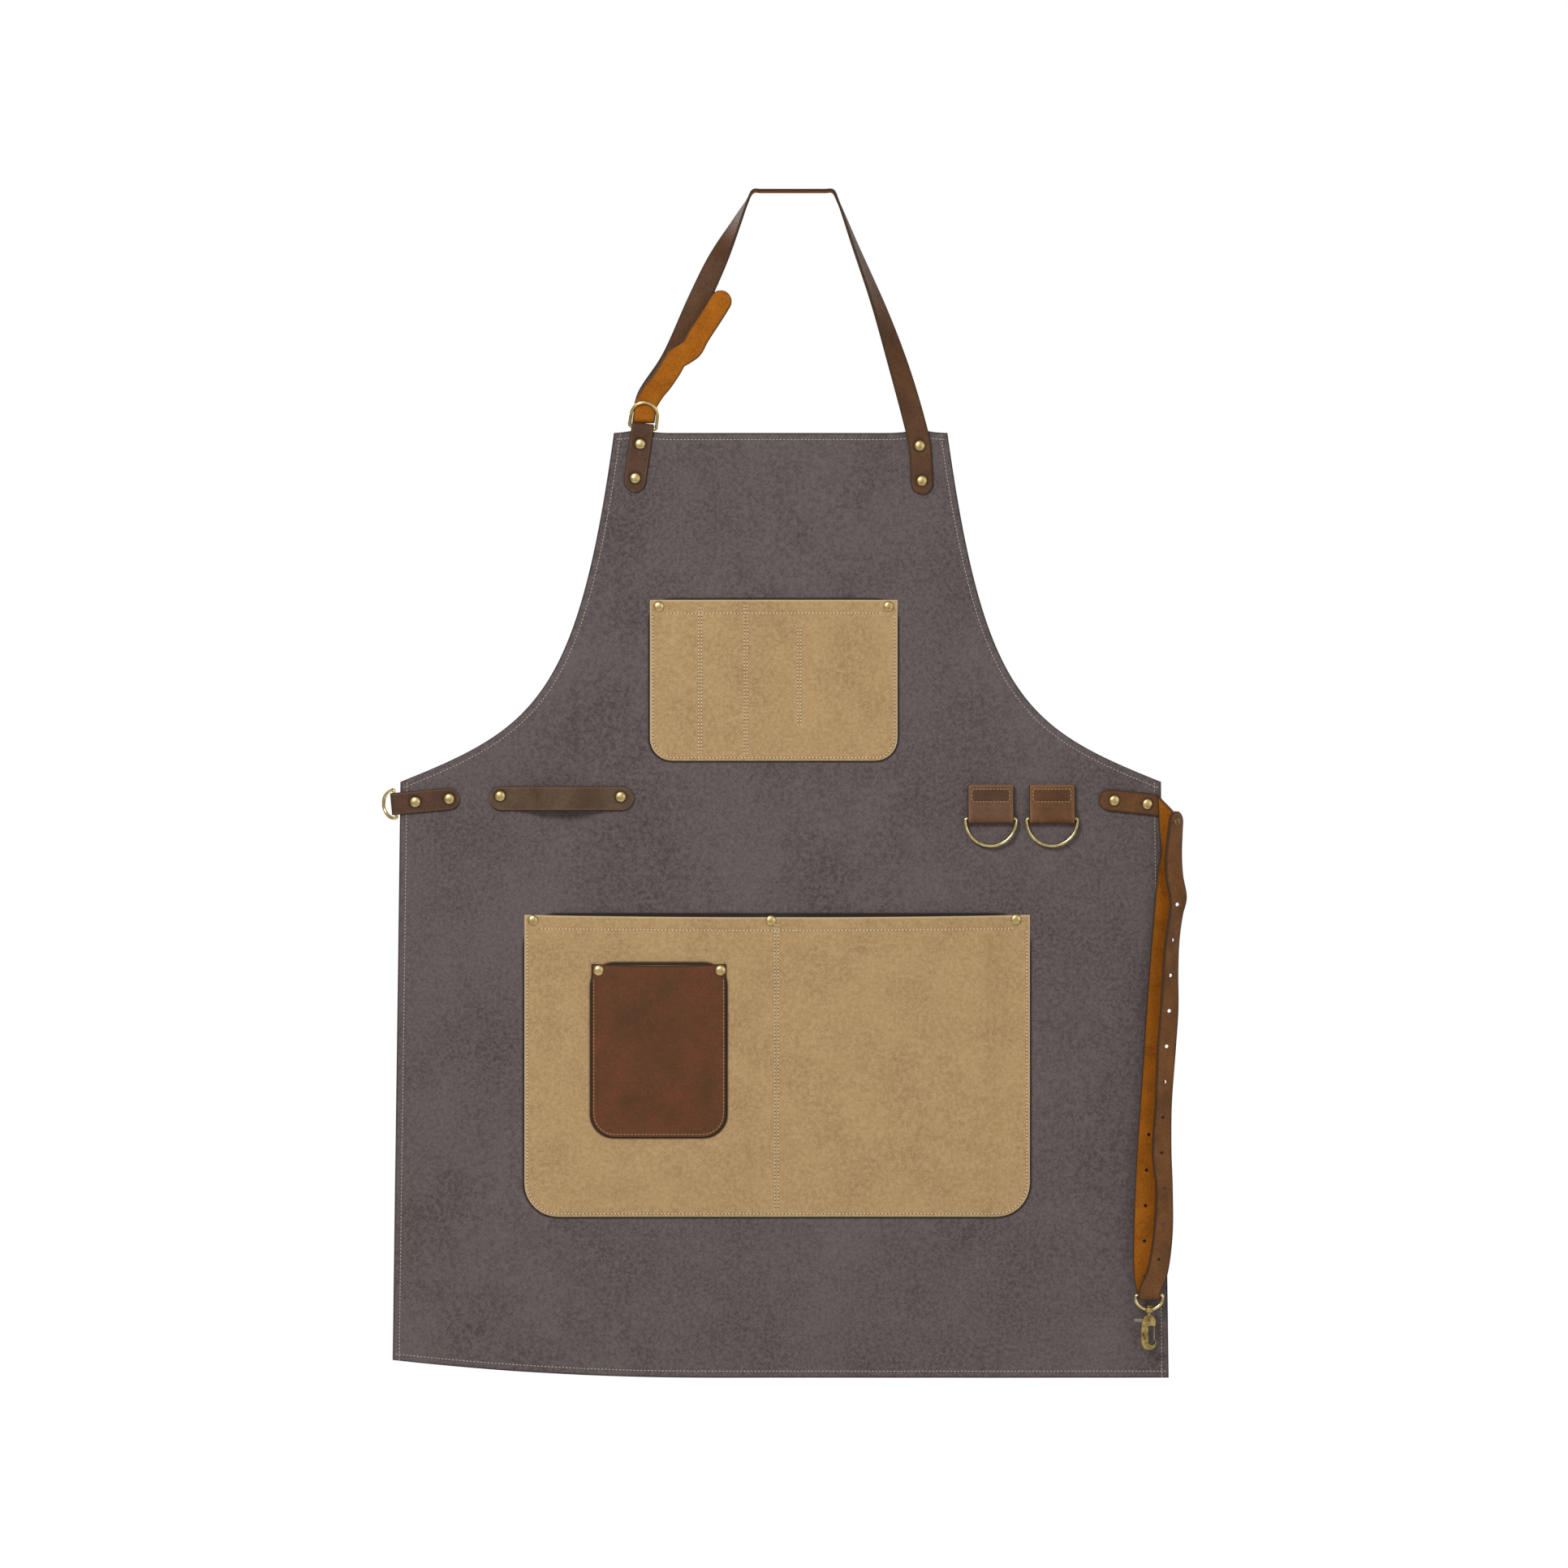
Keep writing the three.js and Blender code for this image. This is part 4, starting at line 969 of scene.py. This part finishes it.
# Antique-plated brass wire and castings: warm metal with a brown patina that lies in
# clouds and is rubbed through to pale brass, finely scratched, softly glossy.
def antique_brass(name, bright, patina, roughness, grit=0.00012):
    material, tree = new_material(name)
    place = place_of(tree)
    clouds = clouds_of(tree, place, 210.0, 5.0, 0.65)
    scratches = clouds_of(tree, place, 1900.0, 3.0, 0.7)
    colour = mixed(tree, ranged(tree, clouds, 0.42, 0.7), srgb(bright), srgb(patina))
    gloss = ranged(tree, clouds, 0.0, 1.0, roughness - 0.08, roughness + 0.14)
    shader = finish_surface(tree, colour, gloss, scratches, 0.3, grit)
    feed(tree, shader, "Metallic", 1.0)
    return material


ring_brass = antique_brass("antique_brass_wire", "#ead79c", "#a98d52", 0.2, 0.00002)


def arc(cx, cz, rx, rz, start, end, count):
    """Points of an arc in the plane of a ring."""
    return [(cx + rx * math.cos(math.radians(a)), cz + rz * math.sin(math.radians(a)))
            for a in np.linspace(start, end, count)]


def bent_wire(name, half, depth, wire, place, material):
    """A D of wire: its bar on X through the origin, its bow up Z, open in its bar."""
    corner = 2.0
    bow = min(half, depth - corner)
    line = [(0.15, 0), *arc(half - corner, corner, corner, corner, -90, 0, 7)]
    line += arc(0, depth - bow, half, bow, 6, 174, 33)
    line += [*arc(corner - half, corner, corner, corner, 180, 270, 7), (-0.15, 0)]
    start_clean()
    bpy.ops.curve.primitive_nurbs_path_add(radius=1)
    bent = bpy.context.object
    bent.data.splines.clear()
    spline = bent.data.splines.new("POLY")
    spline.points.add(len(line) - 1)
    for point, (x, z) in zip(spline.points, line):
        point.co = (x * MM, 0, z * MM, 1)
    bent.data.bevel_depth = wire * MM
    bent.data.bevel_resolution = 5
    bent.data.use_fill_caps = True
    bpy.ops.object.convert(target="MESH")
    ring = bpy.context.object
    bpy.ops.object.mode_set(mode="EDIT")
    bpy.ops.mesh.select_all(action="SELECT")
    bpy.ops.mesh.remove_doubles(threshold=1e-6)
    bpy.ops.mesh.normals_make_consistent(inside=False)
    bpy.ops.object.mode_set(mode="OBJECT")
    ring.data.transform(place)
    bpy.ops.object.shade_smooth()
    return settle(ring, name, material)


def tilt(y, z, angle):
    """A ring's place in its tab's frame: its bar's height, and how its bow leans."""
    return Matrix.Translation((0, y * MM, z * MM)) @ Matrix.Rotation(math.radians(angle), 4, "X")


neck_frame = leaning(NECK_TAB["x"], NECK_TAB["z"], NECK_TAB["lean"])
waist_frame = leaning(WAIST_TAB["x"], WAIST_TAB["z"], WAIST_TAB["lean"])
rings = [
    ("neck_ring_front", "neck_dring_front", 12.15, 22.9, neck_frame @ tilt(-0.95, 46, 12)),
    ("neck_ring_back", "neck_dring_back", 12.15, 22.9, neck_frame @ tilt(2.15, 46, 0)),
    ("waist_ring", "waist_dring", 12.85, 14.5, waist_frame @ tilt(0.6, 48.7, -40)),
]
for side, x in TOOL_TABS.items():
    hanging = Matrix.Translation((x * MM, TOOL_BAR_Y * MM, TOOL_BAR_Z * MM))
    upside_down = hanging @ Matrix.Rotation(math.pi, 4, "Y")
    rings.append((f"tool_ring_{side}", f"tool_dring_{side}", 22.85, 24.5, upside_down))
for body, node, half, depth, place in rings:
    ring = bent_wire(f"{body}_wire", half, depth, DRAWN_WIRE, place, ring_brass)
    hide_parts(node)
    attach(ring, body)


# Neck strap -------------------------------------------------------------------------
# A 20 mm strap riveted on the right of the bib, over the hanging point with a quarter
# turn in each leg, round both rings at the left and back up, its flesh side outwards.

strap_leather = oiled_leather("oiled_strap_leather", "#533722", "#674529", "#3a2619", "#46301f", 0.5)
tail_suede = suede("leather_flesh_side_tail", "#a45e17", "#bf7622", "#854a12")


def at_rings(y, height):
    """A station on the neck tab's axis, height above its lower rivet."""
    place = neck_frame @ Vector((0, 0, height * MM)) / MM
    return (place.x, y, place.z, 180)


neck_stations = [
    (127.8, -1.5, -271.6, 0), (127, -1.5, -259.4, 0), (125.1, -1.5, -227.8, 0), (121.9, -1.5, -213, 2),
    (108.4, -1.3, -164.3, 22), (89.4, -0.8, -105.9, 51), (66.8, -0.3, -47.5, 75), (52, 0, -9, 88),
    (46.8, 0, 1.1, 90), (40, 0, 1.2, 90), (11, 0, 1.2, 90), (-18, 0, 1.2, 90), (-24.6, 0, 1.1, 90),
    (-30.6, 0, -9, 96), (-41.2, 0.3, -29.9, 119), (-58.8, 1.5, -65, 158), (-76, 3, -102, 178),
    (-98.3, 4.8, -151, 180),
    at_rings(6, 72), at_rings(6, 57), at_rings(4.9, 53), at_rings(2.1, 51.2), at_rings(-0.7, 53),
    at_rings(-1.8, 57), at_rings(-2.2, 66), (-115, -4, -180.6, 180), (-107.4, -7, -171.5, 180),
    (-99.4, -10.4, -160, 178), (-93.4, -13, -150.4, 172), (-86.4, -14.4, -146, 178),
    (-80, -13.6, -141.4, 186), (-74, -11, -130.5, 182), (-60, -6.5, -108.5, 180), (-48.9, -5, -89.8, 180),
]
lay_neck, neck_length = follow(neck_stations)
neck_strap = strap("neck_strap_leather", lay_neck, neck_length, (strap_leather, tail_suede, rubbed_edge),
                   press=round_rivets([(125.1, -227.8), (127, -259.4)]), gap=1.8)
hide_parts("neck_strap")
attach(neck_strap, "apron")


# Waist strap ------------------------------------------------------------------------
# A strap riveted near the right edge, folded over itself at 45 degrees so that it hangs
# with its flesh side out. It runs round the snap's bar and back up in front, where a
# small stud buttons its tip. Adjusting holes are punched along it.

ANCHOR = {"x": 300.0, "z": -546.8, "lean": 6.3}
ANCHOR_BACK = 14.0
FOLD_X = 345.5  # where the strap's middle line turns down
HANG_FRONT = -4.5
lean = math.radians(ANCHOR["lean"])
first_way = np.array([math.cos(lean), -math.sin(lean)])  # in X and Z
next_way = np.array([2.0, -50.0]) / math.hypot(2.0, 50.0)
crease_way = (first_way + next_way) / np.linalg.norm(first_way + next_way)
crease_out = np.array([-crease_way[1], crease_way[0]])  # towards the upper right
crease_out *= np.sign(crease_out.dot(first_way))
along_anchor = (FOLD_X - ANCHOR["x"]) / first_way[0]
fold_spot = np.array([ANCHOR["x"], ANCHOR["z"]]) + first_way * along_anchor
fold_start = ANCHOR_BACK + along_anchor
fold_radius = (LAID - HANG_FRONT) / 2
fold_span = 24.0  # how far beyond the crease the hanging strap stays straight
fold_loss = math.pi * fold_radius

down_from = fold_spot + next_way * fold_span + crease_out * fold_loss
hanging_stations = [
    (down_from[0], HANG_FRONT, down_from[1], 0),
    (350.4, -4.7, -592, 24), (347.6, -5.3, -611, 22), (343.4, -6.0, -660, 18), (338.6, -7.0, -720, 18),
    (334.2, -7.8, -790, 14), (328.4, -9.3, -880, 8), (326.2, -10, -955, 2), (327.2, -10, -976, 0),
    (330, -10, -988, 0), (330.5, -11.2, -992.2, 0), (330.5, -14, -993.6, 0), (330.7, -16.8, -992.2, 0),
    (330.9, -18, -986.6, 6), (337, -18.4, -972, 16), (342.4, -18.6, -938, 27), (343.7, -18.6, -895, 39),
    (341.6, -18.4, -862, 28), (343, -18.2, -820, 40), (346, -17.8, -766.6, 31), (348.4, -17.4, -734.5, 34),
    (349.4, -17, -700, 44), (351, -16.4, -672, 48), (354.6, -15.6, -647.8, 50), (356.4, -15.4, -634, 38),
    (353.2, -15, -615, 37), (352.5, -14.4, -596.4, 41), (354, -14, -574.4, 48), (355.4, -13.6, -556.4, 50),
]
lay_hanging, hanging_length = follow(hanging_stations)
fold_end = fold_start + fold_span


def lay_waist(distance, sideways):
    """The waist strap's middle surface: flat on the panel, over the crease, then hanging.
    Sideways runs from the strap's upper edge, at minus, to its lower edge."""
    if distance > fold_end:
        return lay_hanging(distance - fold_end, sideways)
    up = np.array([-first_way[1], first_way[0]])
    flat = fold_spot + first_way * (distance - fold_start) - up * sideways
    beyond = (flat - fold_spot).dot(crease_out)
    foot = flat - crease_out * beyond
    if beyond <= 0:
        return np.array([flat[0], LAID, flat[1]]), np.array([0.0, -1.0, 0.0])
    angle = min(beyond / fold_radius, math.pi)
    reach = fold_radius * math.sin(angle) - max(beyond - fold_loss, 0)
    spot = foot + crease_out * reach
    depth = LAID - fold_radius * (1 - math.cos(angle))
    outward = crease_out * math.sin(angle)
    return np.array([spot[0], depth, spot[1]]), np.array([outward[0], -math.cos(angle), outward[1]])


def darkened_anchor(x, z):
    """The riveted end is pressed round its rivets, with painted shade there, and painted darker than the
    hanging runs.
    """
    near_rivet = round_rivets([(300, -546.8), (329.82, -550.09)])(x, z)
    return max(near_rivet, 0.34 * smooth((350 - x) / 8) * smooth((z + 566) / 4))


waist_length = fold_end + hanging_length
waist_leather = oiled_leather(
    "oiled_waist_strap_leather", "#694426", "#84562f", "#43301a", "#3f2a1b", 0.5)
waist_finishes = (waist_leather, flesh_side, rubbed_edge)
waist_strap = strap("waist_strap_leather", lay_waist, waist_length, waist_finishes,
                    press=darkened_anchor, gap=1.6)

# The punched holes: one punch, moved down each run of the strap.
HOLE_RADIUS, HOLE_PITCH = 1.6, 31.8
FIRST_OUTER_HOLE, OUTER_HOLES = -640.0, 11
FIRST_INNER_HOLE, INNER_HOLES = -974.0, 5
outer_run = hanging_stations[12:]
inner_run = hanging_stations[1:10]


def across_run(run, z):
    """Where a run of the strap lies at a height."""
    ordered = sorted(run, key=lambda station: station[2])
    return float(np.interp(z, [s[2] for s in ordered], [s[0] for s in ordered]))


punches = []
for i in range(OUTER_HOLES):
    z = FIRST_OUTER_HOLE - i * HOLE_PITCH
    behind = np.interp(z, [-960, -640], [-14.0, -8.5])
    punches.append((across_run(outer_run, z), z, -30.0, behind))
for i in range(INNER_HOLES):
    z = FIRST_INNER_HOLE + i * HOLE_PITCH
    punches.append((across_run(inner_run, z), z, -14.0, 5.0))
start_clean()
tools = []
for x, z, front, back in punches:
    bpy.ops.mesh.primitive_cylinder_add(
        vertices=16, radius=HOLE_RADIUS * MM, depth=(back - front) * MM,
        location=(x * MM, (front + back) / 2 * MM, z * MM), rotation=(math.pi / 2, 0, 0))
    tools.append(bpy.context.object)
start_clean()
for tool in tools:
    tool.select_set(True)
bpy.context.view_layer.objects.active = tools[0]
bpy.ops.object.join()
punch = bpy.context.object
apply_modifier(waist_strap, "BOOLEAN", object=punch, operation="DIFFERENCE", solver="EXACT")
bpy.data.objects.remove(punch)
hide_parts("waist_strap_anchor", "waist_strap")
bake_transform(waist_strap)


# Rivets and stud --------------------------------------------------------------------
# Double-cap rivets of antique-plated brass: a domed cap in front, and a flatter cap
# with the post behind. The stud that buttons the waist strap has two small caps.

rivet_brass = antique_brass("antique_brass_rivet", "#dcc48c", "#a98c56", 0.34, 0.00003)
stud_brass = antique_brass("browned_brass_stud", "#8d7350", "#5e4a32", 0.5)


def turned_cap(radius, height, steps, facing):
    """A cap on the origin, raised from a disc by steps [share of radius, share of height].
    It faces -Y or +Y."""
    start_clean()
    bpy.ops.mesh.primitive_circle_add(
        vertices=28, radius=radius * MM, fill_type="NGON", rotation=(math.pi / 2, 0, 0))
    cap = bpy.context.object
    bpy.ops.object.transform_apply(rotation=True)
    bpy.ops.object.mode_set(mode="EDIT")
    bpy.ops.mesh.select_all(action="SELECT")
    wide, tall = 1.0, 0.0
    for share, rise in steps:
        bpy.ops.mesh.extrude_region_move(
            TRANSFORM_OT_translate={"value": (0, facing * (rise - tall) * height * MM, 0)})
        bpy.ops.transform.resize(value=(share / wide, 1, share / wide), center_override=(0, 0, 0))
        wide, tall = share, rise
    bpy.ops.mesh.select_all(action="SELECT")
    bpy.ops.mesh.normals_make_consistent(inside=False)
    bpy.ops.object.mode_set(mode="OBJECT")
    bpy.ops.object.shade_smooth_by_angle(angle=math.radians(50))
    return cap


DOME = [(1.0, 0.14), (0.97, 0.3), (0.88, 0.52), (0.74, 0.72), (0.55, 0.88), (0.32, 0.97), (0.1, 1.0)]
FLAT_BACK = [(1.0, 0.45), (0.95, 0.75), (0.82, 0.95), (0.72, 1.0), (0.3, 0.94)]
cap_model = turned_cap(RIVET_CAP, 1.8, DOME, -1)
back_model = turned_cap(4.3, 1.1, FLAT_BACK, 1)


def copy_of(model, name, place, material):
    """A copy with its own mesh, moved to its place."""
    start_clean()
    copy = bpy.data.objects.new(name, model.data.copy())
    bpy.context.scene.collection.objects.link(copy)
    copy.data.transform(Matrix.Translation(Vector(place) * MM))
    return settle(copy, name, material)


STRAP_FACE, CLOTH_FACE = -GAP - LEATHER, POCKET_FRONT
TAB_BACK = CANVAS + GAP + LEATHER
rivets = [
    ("neck_tab_rivet_1", -126.28, -226.32, STRAP_FACE, TAB_BACK),
    ("neck_tab_rivet_2", -130.7, -257.0, STRAP_FACE, TAB_BACK),
    ("neck_strap_rivet_1", 125.1, -227.8, STRAP_FACE, CANVAS),
    ("neck_strap_rivet_2", 127.0, -259.4, STRAP_FACE, CANVAS),
    ("chest_pocket_rivet_1", -109.5, -372.3, CLOTH_FACE, CANVAS),
    ("chest_pocket_rivet_2", 97.1, -372.3, CLOTH_FACE, CANVAS),
    ("lower_pocket_rivet_1", -222.7, -654.5, CLOTH_FACE, CANVAS),
    ("lower_pocket_rivet_2", -8.8, -654.8, CLOTH_FACE, CANVAS),
    ("lower_pocket_rivet_3", 211.7, -653.8, CLOTH_FACE, CANVAS),
    ("leather_pocket_rivet_1", -163.5, -699.4, HIDE_FRONT, -4.7),
    ("leather_pocket_rivet_2", -54.0, -699.4, HIDE_FRONT, -4.7),
    ("waist_tab_rivet_1", -328.46, -548.18, STRAP_FACE, TAB_BACK),
    ("waist_tab_rivet_2", -298.0, -545.3, STRAP_FACE, TAB_BACK),
    ("towel_loop_rivet_1", -252.2, -542.8, STRAP_FACE, CANVAS),
    ("towel_loop_rivet_2", -143.8, -543.5, STRAP_FACE, CANVAS),
    ("waist_strap_rivet_1", 300.0, -546.8, STRAP_FACE, CANVAS),
    ("waist_strap_rivet_2", 329.82, -550.09, STRAP_FACE, CANVAS),
]
for node, x, z, front, back in rivets:
    pressed = RIVET_PRESS if front == STRAP_FACE else 0
    cap = copy_of(cap_model, f"{node}_dome", (x, front + pressed - GAP, z), rivet_brass)
    under = copy_of(back_model, f"{node}_back", (x, back + 0.1, z), rivet_brass)
    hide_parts(f"{node}_cap")
    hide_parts(f"{node}_post")
    for part in (cap, under):
        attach(part, "apron")

STUD_PLACE, STUD_TURN = (354.6, -13.8, -566.0), 49
stud_set = Matrix.Translation(Vector(STUD_PLACE) * MM) @ Matrix.Rotation(math.radians(STUD_TURN), 4, "Z")
stud_front = copy_of(cap_model, "stud_front", (0, 0, 0), stud_brass)
stud_back = copy_of(back_model, "stud_back", (0, 0, 0), stud_brass)
for part, depth, wide in ((stud_front, -1.2, 0.78), (stud_back, 1.2, 0.86)):
    part.data.transform(
        stud_set @ Matrix.Translation((0, depth * MM, 0)) @ Matrix.Diagonal((wide, 0.83, wide, 1)))
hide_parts("strap_stud")
for part in (stud_front, stud_back):
    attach(part, "waist_strap")
bpy.data.objects.remove(cap_model)
bpy.data.objects.remove(back_model)


# Snap hook --------------------------------------------------------------------------
# A swivel snap of cast brass: a wire eye that the strap runs through, a boss for the
# swivel, a hook with a slot in its head, and a sprung trigger on a pin.

cast_brass = antique_brass("antique_cast_brass", "#c6ad6c", "#5a4a2a", 0.4, 0.0005)
trigger_steel = antique_brass("browned_steel_trigger", "#a39a88", "#6b6355", 0.42)
SNAP_X, SNAP_Y, SNAP_BAR = 330.5, -14.0, -990.6

bar_place = Matrix.Translation((SNAP_X * MM, SNAP_Y * MM, SNAP_BAR * MM))
eye_place = bar_place @ Matrix.Rotation(math.pi, 4, "Y")
eye = bent_wire("snap_eye_wire", 12.1, 12.9, DRAWN_WIRE, eye_place, ring_brass)
start_clean()
bpy.ops.mesh.primitive_cylinder_add(
    vertices=28, radius=3.6 * MM, depth=4.4 * MM, location=(SNAP_X * MM, SNAP_Y * MM, -1003.8 * MM))
boss = bpy.context.object
apply_modifier(boss, "BEVEL", width=0.9 * MM, segments=3)
bpy.ops.object.shade_smooth_by_angle(angle=math.radians(50))
settle(boss, "snap_eye_boss", cast_brass)
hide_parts("snap_eye")
for part in (eye, boss):
    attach(part, "snap_eye")


def cast_from(node, name, voxel, rounds, material):
    """A casting of a CAD piece: a copy of its mesh, merged, with its edges worn round."""
    piece = bpy.data.objects.new(name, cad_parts[node].data.copy())
    bpy.context.scene.collection.objects.link(piece)
    piece.data.materials.clear()
    only(piece)
    bpy.ops.object.mode_set(mode="EDIT")
    bpy.ops.mesh.select_all(action="SELECT")
    bpy.ops.mesh.remove_doubles(threshold=1e-6)
    bpy.ops.object.mode_set(mode="OBJECT")
    apply_modifier(piece, "REMESH", mode="VOXEL", voxel_size=voxel * MM)
    apply_modifier(piece, "SMOOTH", factor=0.5, iterations=rounds)
    bpy.ops.object.shade_smooth()
    return settle(piece, name, material)


for node, body, voxel, rounds, material in (
    ("snap_hook", "snap_hook", 0.35, 4, cast_brass),
    ("snap_trigger", "snap_trigger", 0.3, 2, trigger_steel),
    ("trigger_pin", "snap_hook", 0.2, 2, trigger_steel),
):
    casting = cast_from(node, f"{node}_casting", voxel, rounds, material)
    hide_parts(node)
    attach(casting, body)

start_clean()
bpy.context.view_layer.update()
